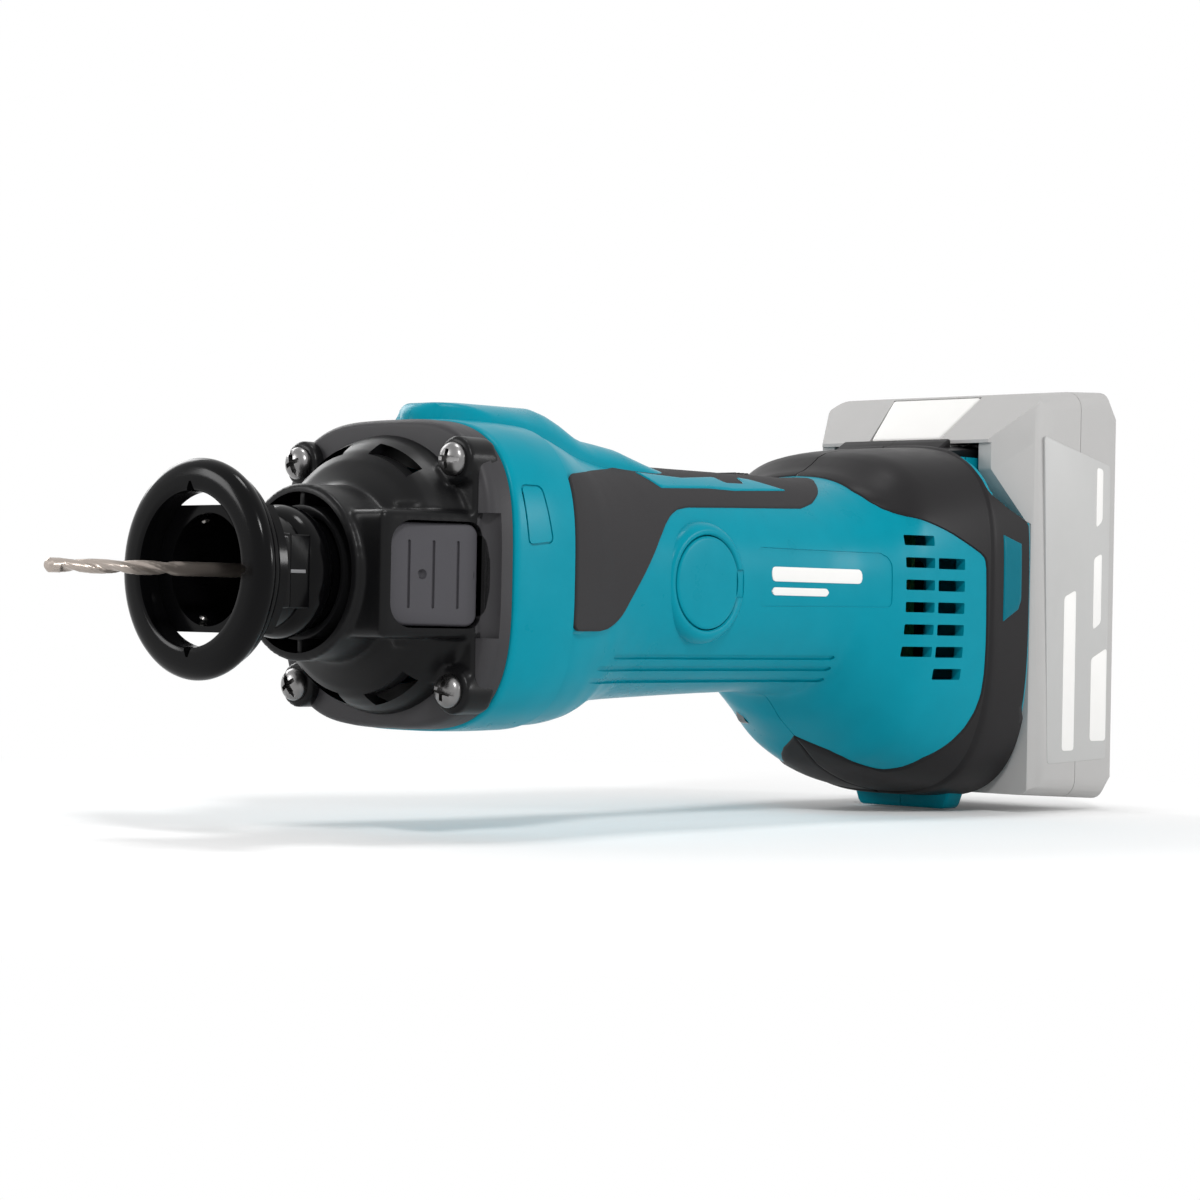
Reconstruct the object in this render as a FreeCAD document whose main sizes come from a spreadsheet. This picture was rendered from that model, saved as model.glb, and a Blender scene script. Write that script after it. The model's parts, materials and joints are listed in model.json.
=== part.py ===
"""Cordless cut-out router: parametric model of the assembly, one solid piece per node.

Frame, in millimetres: the origin is where the spindle axis meets the shoe's front face,
+X runs back along the spindle to the battery, +Z is up and -Y is the side with the
shaft-lock button.
"""
import FreeCAD, Part
import Sketcher
import math
import os
import re

Vector = FreeCAD.Vector
doc = FreeCAD.newDocument("CutOutRouter")

# ---------------------------------------------------------------------------
# Driving dimensions
# ---------------------------------------------------------------------------
SIZES = {
    # shoe: the ring that rests on the work, its cup and its stem
    "shoe_radius": 24.6, "shoe_hole_radius": 17.2, "shoe_thickness": 5.5,
    "shoe_ridge_radius": 22.9, "shoe_ridge_length": 1.9, "shoe_notch": 2.2,
    "cup_radius": 14.6, "cup_wall": 2.0, "cup_step": 0.8, "cup_rear": 30.5,
    "arm_height": 16.5, "arm_flat": 14.9, "rivet_radius": 1.1, "mark_width": 0.8,
    "stem_radius": 13.0, "stem_wall": 1.5, "stem_rear": 45.0,
    # nose housing: neck, dome and flange
    "neck_front": 31.7, "neck_radius": 20.3, "neck_rear": 44.5,
    "guide_radius": 15.35, "guide_bore": 14.3, "guide_step": 33.6, 
    "dome_mid": 48.6, "dome_mid_radius": 27.6, "dome_rear_radius": 32.6, "dome_wall": 2.3,
    "flange_front": 58.0, "flange_half": 35.3, "collar_front": 65.4, "collar_half": 36.6,
    "collar_corner": 21.0, "collar_rear": 84.5,
    "vent_inner": 24.6, "vent_outer": 29.9, "vent_turn": 28.0, "vent_span": 24.0,
    "screw_spacing": 52.66, "screw_head": 3.9, "screw_shank": 2.0, "screw_front": 55.2,
    "boss_radius": 5.4,
    # shaft lock
    "lock_front": 36.4, "lock_rear": 59.0, "lock_height": 23.4, "lock_gap": 0.4,
    "lock_face": 24.5, "lock_slope": 6.4, "lock_inner": 21.4, "lock_corner": 3.4,
    "lock_pin_radius": 2.5, "lock_pin_x": 49.0, "lock_pin_tip": 7.5,
    # depth clamp
    "clamp_x": 38.7, "clamp_lift": 3.5, "clamp_pin_radius": 1.5, "clamp_width": 9.0,
    "clamp_length": 11.5, "clamp_thickness": 3.0,
    # spindle, collet and bit
    "bit_radius": 1.59, "bit_tip": -38.5, "bit_seat": 35.0, "flute_rear": -4.0,
    "nut_front": 21.0, "nut_length": 17.0, "nut_flats": 15.6,
    "shaft_radius": 5.0, "shaft_collar": 7.0, "shaft_front": 23.5, "shaft_rear": 158.5,
    "front_bearing_outer": 13.0, "front_bearing_width": 8.0, "front_bearing_x": 57.0,
    "rear_bearing_outer": 11.0, "rear_bearing_width": 7.0, "rear_bearing_x": 150.0,
    "rear_journal": 4.0,
    # motor
    "fan_x": 68.5, "fan_radius": 24.0, "fan_length": 8.0, "fan_blades": 12,
    "core_x": 86.0, "core_length": 36.0, "core_radius": 15.2, "core_slots": 10,
    "winding_overhang": 7.0, "commutator_x": 132.5, "commutator_length": 13.0,
    "commutator_radius": 10.5, "yoke_x": 80.0, "yoke_length": 46.0, "yoke_radius": 24.0,
    "yoke_wall": 2.4, "magnet_thickness": 5.4, "brush_x": 139.0, "brush_reach": 21.0,
    "cover_radius": 11.5, "cover_face": 30.4,
    # housing
    "wall": 3.0, "skin": 1.5, "station_pitch": 6.0, "handle_half": 29.0, "handle_front": 118.0,
    "seat_x": 264.2, "seat_half_width": 37.4, "seat_top": 39.6, "seat_bottom": 56.0,
    # slide switch
    "switch_x": 166.0, "switch_length": 30.0, "knob_x": 176.0, "knob_length": 9.0,
    "knob_width": 12.0, "knob_thickness": 2.0, "knob_travel": 6.0,
    # battery
    "battery_front": 265.8, "battery_rear": 307.0, "battery_half_width": 37.5,
    "battery_top": 57.0, "battery_bottom": 57.0, "battery_wall": 2.0, "battery_nose": 254.8,
    "rail_half_width": 16.0, "rail_front": 252.6, "rail_gap": 0.5, "rail_bottom": -40.0,
    "cell_radius": 9.0, "cell_length": 65.0, "cell_pitch": 19.2, "cell_rows": 5,
    "latch_half_width": 13.5, "latch_travel": 2.5,
    # fits
    "running_gap": 0.05, "slide_gap": 0.3, "seat_gap": 0.1,
}
sheet = doc.addObject("Spreadsheet::Sheet", "Sizes")
for row, (alias, value) in enumerate(SIZES.items(), start=1):
    sheet.set(f"A{row}", alias)
    sheet.set(f"B{row}", str(value))
    sheet.setAlias(f"B{row}", alias)
doc.recompute()

ALIAS = re.compile(r"\b(" + "|".join(sorted(SIZES, key=len, reverse=True)) + r")\b")
nodes = {}


# ---------------------------------------------------------------------------
# Helpers
# ---------------------------------------------------------------------------
def bind(thing, prop, formula):
    """Drive a property, or a sketch constraint, from the sheet."""
    thing.setExpression(prop, ALIAS.sub(r"Sizes.\1", formula))


def place(thing, x="0", y="0", z="0"):
    """Put a piece at sheet-driven coordinates."""
    for axis, formula in zip("xyz", (x, y, z)):
        if formula != "0":
            bind(thing, f".Placement.Base.{axis}", formula)
    return thing


def node(label, thing):
    """Name a finished sub-part: its label is its file's name."""
    thing.Label = label
    nodes[label] = thing
    return thing


def feature(name, shape):
    """Hold a shape made with Part's own functions."""
    thing = doc.addObject("Part::Feature", name)
    thing.Shape = shape
    return thing


def origin_plane(body, role):
    """Return one of a body's own origin planes."""
    return next(plane for plane in body.Origin.OriginFeatures if plane.Role == role)


def outline(body, role, points):
    """Sketch a closed outline whose corners are sheet formulas (across, up)."""
    sketch = body.newObject("Sketcher::SketchObject", body.Name + "Outline")
    sketch.AttachmentSupport = [(origin_plane(body, role), "")]
    sketch.MapMode = "FlatFace"
    count = len(points)
    for index in range(count):
        turn = 2 * math.pi * index / count
        step = 2 * math.pi * (index + 1) / count
        sketch.addGeometry(Part.LineSegment(
            Vector(50 * math.cos(turn), 50 * math.sin(turn), 0),
            Vector(50 * math.cos(step), 50 * math.sin(step), 0)), False)
    for index in range(count):
        sketch.addConstraint(Sketcher.Constraint("Coincident", index, 2, (index + 1) % count, 1))
    for index, point in enumerate(points):
        for kind, formula in zip(("DistanceX", "DistanceY"), point):
            number = sketch.addConstraint(Sketcher.Constraint(kind, index, 1, 1.0))
            bind(sketch, f"Constraints[{number}]", formula)
    return sketch


def turned(label, profile, start="0"):
    """Turn a closed profile of (length, radius) formulas about the spindle axis."""
    body = doc.addObject("PartDesign::Body", label)
    sketch = outline(body, "XY_Plane", profile)
    turn = body.newObject("PartDesign::Revolution", label + "Turn")
    turn.Profile = sketch
    turn.ReferenceAxis = (sketch, ["H_Axis"])
    turn.Angle = 360.0
    place(body, x=start)
    return node(label, body)


def tube(label, outer, inner, length, start):
    """Make a plain tube or, with an inner radius of 0, a rod on the spindle axis."""
    return turned(label, [("0", inner), (length, inner), (length, outer), ("0", outer)], start)


def cylinder(name, radius, length, x="0", y="0", z="0", axis="X"):
    """Make a sheet-driven cylinder along one axis."""
    thing = doc.addObject("Part::Cylinder", name)
    bind(thing, "Radius", radius)
    bind(thing, "Height", length)
    turns = {"X": FreeCAD.Rotation(Vector(0, 1, 0), 90),
             "Y": FreeCAD.Rotation(Vector(1, 0, 0), -90),
             "Z": FreeCAD.Rotation()}
    thing.Placement = FreeCAD.Placement(Vector(), turns[axis])
    return place(thing, x, y, z)


def box(name, dx, dy, dz, x="0", y="0", z="0"):
    """Make a sheet-driven box from its low corner."""
    thing = doc.addObject("Part::Box", name)
    for prop, formula in zip(("Length", "Width", "Height"), (dx, dy, dz)):
        bind(thing, prop, formula)
    return place(thing, x, y, z)


def cut(name, base, tool):
    """Subtract one object from another."""
    thing = doc.addObject("Part::Cut", name)
    thing.Base = base
    thing.Tool = tool
    return thing


def fuse(name, parts):
    """Join objects into one piece, or into one group of separate solids."""
    thing = doc.addObject("Part::MultiFuse", name)
    thing.Shapes = parts
    return thing


def rounded_box(low, high, radius, axis):
    """Box shape with its four edges along one axis rounded."""
    shape = Part.makeBox(*(high - low), low)
    along = [edge for edge in shape.Edges
             if abs(getattr(edge.tangentAt(0), axis)) > 0.99]
    return shape.makeFillet(radius, along)


def sector(inner, outer, middle, span, x_low, x_high):
    """Curved slot tool: part of a tube about the spindle, angles from +Z in degrees."""
    ring = Part.makeCylinder(outer, x_high - x_low, Vector(x_low, 0, 0), Vector(1, 0, 0))
    ring = ring.cut(Part.makeCylinder(inner, x_high - x_low, Vector(x_low, 0, 0), Vector(1, 0, 0)))
    reach = 2 * outer
    corners = [Vector(x_low, 0, 0)]
    for turn in (middle - span / 2, middle + span / 2):
        angle = math.radians(turn)
        corners.append(Vector(x_low, reach * math.sin(angle), reach * math.cos(angle)))
    wedge = Part.Face(Part.makePolygon(corners + [corners[0]])).extrude(Vector(x_high - x_low, 0, 0))
    return ring.common(wedge)


def slab(points, half_width):
    """Prism across Y from an outline of (x, z) points."""
    corners = [Vector(x, -half_width, z) for x, z in points]
    return Part.Face(Part.makePolygon(corners + [corners[0]])).extrude(Vector(0, 2 * half_width, 0))


# ---------------------------------------------------------------------------
# Housing hull: rounded sections lofted along the spindle axis
# ---------------------------------------------------------------------------
def section(x, half_width, top, bottom, top_corner, bottom_corner, inset):
    """Rounded rectangle across the spindle, drawn as four lines and four arcs."""
    w, up, down = half_width - inset, top - inset, inset - bottom
    rt, rb = top_corner - inset, bottom_corner - inset
    k = math.sqrt(0.5)
    at = lambda y, z: Vector(x, y, z)
    arcs = (((w - rt, up), (w - rt + rt * k, up - rt + rt * k), (w, up - rt)),
            ((w, down + rb), (w - rb + rb * k, down + rb - rb * k), (w - rb, down)),
            ((rb - w, down), (rb - w - rb * k, down + rb - rb * k), (-w, down + rb)),
            ((-w, up - rt), (rt - w - rt * k, up - rt + rt * k), (rt - w, up)))
    edges = []
    for index, (start, middle, end) in enumerate(arcs):
        edges.append(Part.Arc(at(*start), at(*middle), at(*end)).toShape())
        edges.append(Part.LineSegment(at(*end), at(*arcs[(index + 1) % 4][0])).toShape())
    return Part.Wire(edges)


def smooth(rows, column, x):
    """Value of one column at x: a cubic through the rows that never overshoots them."""
    index = max(i for i in range(len(rows) - 1) if rows[i][0] <= x + 1e-9)
    spans = [rows[i + 1][0] - rows[i][0] for i in range(len(rows) - 1)]
    rises = [(rows[i + 1][column] - rows[i][column]) / spans[i] for i in range(len(rows) - 1)]

    def slope(i):
        """Slope at row i, flat wherever the value turns round."""
        if i == 0 or i == len(rows) - 1:
            return rises[min(i, len(rises) - 1)]
        before, after = rises[i - 1], rises[i]
        return 2 * before * after / (before + after) if before * after > 0 else 0.0

    span, low, high = spans[index], rows[index][column], rows[index + 1][column]
    share = (x - rows[index][0]) / span
    return (low * (1 + 2 * share) * (1 - share) ** 2 + high * share ** 2 * (3 - 2 * share)
            + span * share * (1 - share) * (slope(index) * (1 - share) - slope(index + 1) * share))


def hull(inset, front, rear):
    """Closed solid of the housing's outside, moved inwards by an inset."""
    collar, corner, grip = sheet.collar_half, sheet.collar_corner, sheet.handle_half
    side, top, bottom = sheet.seat_half_width, sheet.seat_top, sheet.seat_bottom
    bulge = sheet.seat_x
    # x, half width, top, bottom (down), top corner, bottom corner
    stations = [
        (sheet.flange_front, sheet.flange_half, sheet.flange_half + 0.6, sheet.flange_half, corner, corner),
        (sheet.collar_front, collar - 0.2, collar + 0.3, collar - 0.2, corner, corner),
        ((sheet.collar_front + sheet.collar_rear) / 2, collar, collar + 0.4, collar, corner, corner),
        (sheet.collar_rear + 2, collar - 1.2, collar + 0.2, collar, corner, corner),
        (sheet.handle_front - 20, grip + 3.6, grip + 6.4, collar - 0.3, corner + 2, corner + 1),
        (sheet.handle_front - 9, grip + 2.0, grip + 4.4, grip + 4.7, corner + 3, corner + 3),
        (sheet.handle_front, grip + 1.0, grip + 2.2, grip + 1.4, grip - 4, grip - 4),
        (sheet.handle_front + 22, grip + 0.6, grip + 0.2, grip, grip - 2.5, grip - 2.5),
        (bulge - 84, grip + 0.6, grip - 0.2, grip - 1.2, grip - 3, grip - 3),
        (bulge - 68, grip + 1.8, grip - 0.3, grip - 0.5, grip - 4, grip - 4),
        (bulge - 57, side - 4.4, grip + 0.6, bottom - 16.5, corner + 3, corner + 4),
        (bulge - 44, side - 1.6, top - 3.8, bottom - 8.6, corner, corner + 6),
        (bulge - 28, side - 0.5, top - 1.3, bottom - 2.8, corner - 2, corner + 6),
        (bulge - 14, side - 0.1, top - 0.5, bottom - 0.7, corner - 3, corner + 5),
        (bulge, side, top, bottom, corner - 4, corner + 3),
    ]
    steps = max(2, round((rear - front) / sheet.station_pitch))
    places = [front + (rear - front) * step / steps for step in range(steps + 1)]
    wires = [section(x, *(smooth(stations, column, x) for column in range(1, 6)), inset) for x in places]
    return Part.makeLoft(wires, True, False)


def bump(inset):
    """Teal hump on the collar's top line."""
    top, mid = 41.3 - inset, (sheet.collar_front + sheet.collar_rear) / 2
    half = 15.0 - inset
    points = [(mid - 14, 20), (mid - 12.5, top - 4), (mid - 9, top - 1.4), (mid, top),
              (mid + 24, top), (mid + 31, top - 2.4), (mid + 37, top - 6), (mid + 52, top - 9.5),
              (mid + 58, 20)]
    body = slab(points, half)
    edges = [edge for edge in body.Edges
             if abs(abs(edge.CenterOfMass.y) - half) < 0.01 and edge.CenterOfMass.z > 25]
    return body.makeFillet(6.0, edges)


def half_space(side):
    """Block on one side of the centre plane: side is +1 or -1."""
    return Part.makeBox(400, 80, 200, Vector(-50, 0 if side > 0 else -80, -100))


# regions of the overmoulded grip and the rear bumper, seen from the side
def grip_region():
    """Outline of the soft grip: a front panel and a band along the top of the handle."""
    x = sheet.collar_rear
    return slab([(x + 1.3, 24.2), (x + 1.3, -12.5), (x + 13, -12.3), (x + 19.6, -10.9), (x + 24.8, -5.8),
                 (x + 30.8, 1.0), (x + 38.4, 10.8), (x + 45, 16.4), (x + 51.2, 18.2), (x + 67.5, 18.8),
                 (x + 97.5, 19.7), (x + 109.5, 23.9), (x + 115.5, 27.4), (x + 120.5, 50), (x + 47.5, 50),
                 (x + 38.8, 27.8), (x + 20, 26)], 60)


def bumper_region():
    """Outline of the rear bumper: over the top, down the rear edge and under the bottom."""
    x = sheet.seat_x
    return slab([(x - 56.2, 55), (x - 56.2, 29.7), (x - 58.4, 25), (x - 56.7, 21.5), (x - 49.3, 18.6),
                 (x - 36, 15.5), (x - 26.5, 11.5), (x - 20.7, 8.8), (x - 20, -13.4), (x - 19.9, -28.6),
                 (x - 23.8, -38), (x - 27.3, -43.1), (x - 32.6, -47.6), (x - 37.5, -48.6), (x - 49.2, -43.6),
                 (x - 54.9, -39.5), (x - 60, -70), (x - 3, -70), (x - 3, 55)], 60)


outer_hull = hull(0, sheet.collar_front, sheet.seat_x)
skin_hull = hull(sheet.skin, sheet.collar_front, sheet.seat_x)
inner_hull = hull(sheet.wall, sheet.collar_front, sheet.seat_x)
outer_hull = outer_hull.fuse(bump(0)).removeSplitter()
outer_hull = outer_hull.cut(Part.makeBox(60, 100, 100, Vector(sheet.collar_front - 60, -50, -50)))
skin_hull = skin_hull.fuse(bump(sheet.skin)).removeSplitter()
skin_zone = outer_hull.cut(skin_hull)

# battery seat: a solid foot at the rear with a slot for the pack's rail block, open at the top
rail_slot = rounded_box(Vector(sheet.rail_front - 1.0, -sheet.rail_half_width - sheet.rail_gap,
                               sheet.rail_bottom - 2), Vector(sheet.seat_x + 1,
                               sheet.rail_half_width + sheet.rail_gap, 60), 1.0, "z")
rib_depth = 2.2
for side in (-1, 1):
    wall_y = side * (sheet.rail_half_width + sheet.rail_gap)
    rib = Part.makeBox(2.4, rib_depth, 74, Vector(258.6, min(wall_y, wall_y - side * rib_depth),
                                                  sheet.rail_bottom))
    rail_slot = rail_slot.cut(rib)
foot = Part.makeBox(16, 48, 84, Vector(sheet.seat_x - 16, -24, sheet.rail_bottom - 5)).common(skin_hull)

ribs = []
for rib_x in (sheet.yoke_x + 3, sheet.yoke_x + sheet.yoke_length - 7):
    rib = Part.makeCylinder(40, 3, Vector(rib_x, 0, 0), Vector(1, 0, 0))
    ribs.append(rib.cut(Part.makeCylinder(sheet.yoke_radius + sheet.seat_gap, 3,
                                          Vector(rib_x, 0, 0), Vector(1, 0, 0))))
bearing_rib = Part.makeCylinder(40, sheet.rear_bearing_width - 1,
                                Vector(sheet.rear_bearing_x + 0.5, 0, 0), Vector(1, 0, 0))
bearing_bore = Part.makeCylinder(sheet.rear_bearing_outer + sheet.seat_gap, 20,
                                 Vector(sheet.rear_bearing_x - 5, 0, 0), Vector(1, 0, 0))
ribs.append(bearing_rib.cut(bearing_bore))
for side in (-1, 1):
    for cradle_x in (sheet.switch_x + 4, sheet.switch_x + sheet.switch_length - 6):
        ribs.append(Part.makeBox(2, 31, 20, Vector(cradle_x, 9.1 if side > 0 else -40.1, -6)))
board_x, board_half = 236.0, 18.0
board_slot = Part.makeBox(1.8, 2 * board_half + 0.2, 60, Vector(board_x - 0.1, -board_half - 0.1, -30))
for side in (-1, 1):
    for board_z in (-22, 12):
        clip = Part.makeBox(5.6, 40 - board_half + 1.5, 4,
                            Vector(board_x - 2, board_half - 1.5 if side > 0 else -40, board_z))
        ribs.append(clip.cut(board_slot))
inside = [rib.common(skin_hull) for rib in ribs]

# bosses for the screws that join the halves, along Y
case_screws = [(sheet.seat_x - 58, 22.0), (sheet.seat_x - 54, -34.0), (sheet.seat_x - 22, -44.0),
               (sheet.seat_x - 22, 32.0), (sheet.brush_x + 22, -21.0), (sheet.collar_rear - 10, -29.0),
               (sheet.collar_rear - 10, 29.0)]
for x, z in case_screws:
    inside.append(Part.makeCylinder(4.2, 90, Vector(x, -45, z), Vector(0, 1, 0)).common(skin_hull))

shell = outer_hull.cut(inner_hull)
shell = shell.fuse([foot] + inside).removeSplitter()
tab = Part.makeBox(15, 34, 12, Vector(sheet.seat_x - 15.5, -17, -sheet.seat_bottom - 4.2))
tab = tab.makeChamfer(2.5, [edge for edge in tab.Edges
                            if edge.CenterOfMass.z < -sheet.seat_bottom - 4 and
                            abs(edge.CenterOfMass.x - sheet.seat_x + 8) > 6])
shell = shell.fuse(tab.cut(inner_hull)).removeSplitter()
blade_x = sheet.seat_x - 16
blades = [Part.makeBox(9.4, 0.8, 22, Vector(blade_x, y - 0.4, -20)) for y in (-9, -3, 3, 9)]
shell = shell.cut(rail_slot).cut(Part.makeCompound(blades))

# side openings: brush cap bores and the two columns of cooling slots
cover_bore = Part.makeCylinder(sheet.cover_radius + 0.25, 100, Vector(sheet.brush_x, -50, 0), Vector(0, 1, 0))
shell = shell.cut(cover_bore)
slots = []
for column, (slot_x, slot_length) in enumerate(((212.6, 13.4), (228.2, 8.0))):
    for index in range(6):
        z = 11.2 - 5.85 * (index + column)
        slots.append(rounded_box(Vector(slot_x, -60, z - 1.45), Vector(slot_x + slot_length, 60, z + 1.45),
                                 0.5, "y"))
shell = shell.cut(Part.makeCompound(slots))
knob_slot = Part.makeBox(sheet.knob_length + sheet.knob_travel + 1, 7, 20,
                         Vector(sheet.knob_x - sheet.knob_travel - 0.5, -3.5, 20))
shell = shell.cut(knob_slot)

grip_zone = skin_zone.common(grip_region())
bumper_zone = skin_zone.common(bumper_region())
knob_bed = rounded_box(Vector(sheet.knob_x - sheet.knob_travel - 0.6, -sheet.knob_width / 2 - 0.5, 20),
                       Vector(sheet.knob_x + sheet.knob_length + 0.6, sheet.knob_width / 2 + 0.5, 40),
                       1.5, "z")
grip_zone = grip_zone.cut(knob_bed)
hard_shell = shell.cut(skin_zone.common(grip_region()))
hard_shell = hard_shell.cut(bumper_zone)
bumper_zone = bumper_zone.cut(rail_slot).cut(tab).cut(Part.makeCompound(slots))
seat = sheet.seat_x
badge_outline = slab([(seat - 14, 15.1), (seat - 5.7, 12.8), (seat - 6.6, -4.6), (seat - 13.7, -8.0)], 60)
badge_zone = bumper_zone.common(badge_outline)
badge_zone = badge_zone.cut(Part.makeBox(40, 60, 60, Vector(240, -30, -30)))
bumper_zone = bumper_zone.cut(badge_zone)

screw_holes = []
for x, z in case_screws:
    screw_holes.append(Part.makeCylinder(1.8, 60, Vector(x, -12, z), Vector(0, 1, 0)))
    screw_holes.append(Part.makeCylinder(3.4, 60, Vector(x, 16, z), Vector(0, 1, 0)))
screw_tools = Part.makeCompound(screw_holes)
for name, side in (("right", -1), ("left", 1)):
    half = half_space(side)
    node(f"housing_{name}", feature(f"Housing{name}", hard_shell.common(half).cut(screw_tools)))
    grip_half = grip_zone.common(half).cut(screw_tools)
    node(f"grip_{name}", feature(f"Grip{name}", grip_half))
    node(f"rear_bumper_{name}", feature(f"Bumper{name}", bumper_zone.common(half).cut(screw_tools)))
node("badge_inlays", feature("BadgeInlays", badge_zone))

screws = []
for x, z in case_screws:
    shank = Part.makeCylinder(1.7, 26, Vector(x, -9, z), Vector(0, 1, 0))
    head = Part.makeCylinder(3.1, 2.4, Vector(x, 16.1, z), Vector(0, 1, 0))
    screws.append(shank.fuse(head).removeSplitter())
node("case_screws", feature("CaseScrews", Part.makeCompound(screws)))

# ---------------------------------------------------------------------------
# Nose housing
# ---------------------------------------------------------------------------
def turned_shape(points):
    """Solid of revolution about the spindle from (x, radius) points."""
    corners = [Vector(x, radius, 0) for x, radius in points]
    face = Part.Face(Part.makePolygon(corners + [corners[0]]))
    return face.revolve(Vector(0, 0, 0), Vector(1, 0, 0), 360)


def dome(offset):
    """Neck and dome outside, pulled in by an offset; an arc joins neck and flange."""
    neck, rear = sheet.neck_radius - offset, sheet.dome_rear_radius - offset
    start = Vector(sheet.neck_rear - offset * 0.4, neck, 0)
    middle = Vector(sheet.dome_mid + offset * 0.6, sheet.dome_mid_radius - offset * 0.7, 0)
    end = Vector(sheet.flange_front + 0.5, rear + 0.6, 0)
    blend = Vector(sheet.neck_rear + 2.2, neck + 3.4, 0)
    spline = Part.BSplineCurve()
    spline.interpolate([start, blend, middle, Vector((middle.x + end.x) / 2, (middle.y + rear) / 2 + 1.6, 0), end])
    edges = [Part.LineSegment(Vector(sheet.neck_front, 0, 0), Vector(sheet.neck_front, neck, 0)).toShape(),
             Part.LineSegment(Vector(sheet.neck_front, neck, 0), start).toShape(),
             spline.toShape(),
             Part.LineSegment(end, Vector(end.x, 0, 0)).toShape(),
             Part.LineSegment(Vector(end.x, 0, 0), Vector(sheet.neck_front, 0, 0)).toShape()]
    return Part.Face(Part.Wire(edges)).revolve(Vector(0, 0, 0), Vector(1, 0, 0), 360)


flange = hull(0, sheet.flange_front, sheet.collar_front)
front_edges = [edge for edge in flange.Edges if abs(edge.CenterOfMass.x - sheet.flange_front) < 0.01]
flange = flange.makeFillet(1.5, front_edges)
flange_hollow = hull(sheet.wall, sheet.flange_front, sheet.collar_front)

half_pitch = sheet.screw_spacing / 2
screw_places = [(y * half_pitch, z * half_pitch) for y in (-1, 1) for z in (-1, 1)]
bosses = [Part.makeCylinder(sheet.boss_radius, sheet.collar_front - sheet.screw_front,
                            Vector(sheet.screw_front, y, z), Vector(1, 0, 0)) for y, z in screw_places]

lock_top = sheet.lock_height / 2
boss_half = lock_top + 2.6
lock_boss = Part.Face(Part.makePolygon([
    Vector(sheet.lock_front - 2.6, -15, -boss_half),
    Vector(sheet.lock_front - 2.6, -sheet.lock_face + 1.2, -boss_half),
    Vector(sheet.lock_rear + 3.0, -sheet.lock_face - sheet.lock_slope - 0.4, -boss_half),
    Vector(sheet.lock_rear + 3.0, -15, -boss_half),
    Vector(sheet.lock_front - 2.6, -15, -boss_half)])).extrude(Vector(0, 0, 2 * boss_half))
lock_boss = lock_boss.makeFillet(3.0, [edge for edge in lock_boss.Edges if edge.CenterOfMass.y < -20])
lock_pocket = rounded_box(
    Vector(sheet.lock_front - sheet.lock_gap, -45, -lock_top - sheet.lock_gap),
    Vector(sheet.lock_rear + sheet.lock_gap, -sheet.guide_radius - 0.9, lock_top + sheet.lock_gap),
    sheet.lock_corner + sheet.lock_gap, "y")

clamp_y, clamp_half = sheet.neck_radius + sheet.clamp_lift, sheet.clamp_width / 2
ears = [Part.makeBox(6.4, clamp_y + 3.0 - 15, 2.6, Vector(sheet.clamp_x - 3.2, 15, low))
        for low in (clamp_half + sheet.slide_gap, -clamp_half - sheet.slide_gap - 2.6)]

nose = dome(0).fuse([flange, lock_boss] + bosses + ears)
hollow = dome(sheet.dome_wall).fuse(flange_hollow)
nose = nose.cut(hollow)

# inside the dome: shoe guide, bearing seat, cross spokes and diagonal ribs
bearing_x, bearing_r = sheet.front_bearing_x, sheet.front_bearing_outer
guide = turned_shape([(sheet.neck_front + 0.4, sheet.guide_bore), (sheet.guide_step, sheet.guide_bore),
                      (sheet.guide_step, sheet.stem_radius + 0.1), (bearing_x - 2, sheet.stem_radius + 0.1),
                      (bearing_x - 2, bearing_r - 2.0), (bearing_x, bearing_r - 2.0),
                      (bearing_x, bearing_r + sheet.running_gap),
                      (bearing_x + 8, bearing_r + sheet.running_gap), (bearing_x + 8, bearing_r + 2.4),
                      (bearing_x - 3, bearing_r + 2.4), (bearing_x - 3, sheet.guide_radius),
                      (sheet.neck_front + 0.4, sheet.guide_radius)])
spoke_low, spoke_high = sheet.guide_radius - 0.5, sheet.neck_radius - sheet.dome_wall / 2
spokes = [Part.makeBox(16, 1.6, spoke_high - spoke_low, Vector(sheet.neck_front + 1.2, -0.8, low))
          for low in (spoke_low, -spoke_high)]
diagonal_ribs = []
for turn in (45, 135, 225, 315):
    rib = Part.makeBox(6, 3, 40, Vector(bearing_x + 1.4, -1.5, bearing_r + 1.5))
    rib.rotate(Vector(0, 0, 0), Vector(1, 0, 0), turn)
    diagonal_ribs.append(rib.common(hollow))
nose = nose.fuse([guide] + spokes + diagonal_ribs)

nose = nose.cut(lock_pocket)
nose = nose.cut(Part.makeCompound([
    sector(sheet.vent_inner, sheet.vent_outer, middle, sheet.vent_span, 42, 57)
    for middle in (sheet.vent_turn, -sheet.vent_turn, 180 - sheet.vent_turn, 180 + sheet.vent_turn)]))
pin_bore = Part.makeCylinder(sheet.lock_pin_radius + sheet.running_gap, 14,
                             Vector(sheet.lock_pin_x, -26, 0), Vector(0, 1, 0))
nose = nose.cut(pin_bore)
clamp_bore = Part.makeBox(6, clamp_y + 0.2 - 12, 7, Vector(sheet.clamp_x - 3.0, 12, -3.5))
clamp_pin_bore = Part.makeCylinder(sheet.clamp_pin_radius, 40, Vector(sheet.clamp_x, clamp_y, -20),
                                   Vector(0, 0, 1))
nose = nose.cut(clamp_bore).cut(clamp_pin_bore)
for y, z in screw_places:
    nose = nose.cut(Part.makeCylinder(sheet.screw_shank, 20, Vector(sheet.screw_front - 1, y, z),
                                      Vector(1, 0, 0)))
node("nose_housing", feature("NoseHousing", nose))


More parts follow.
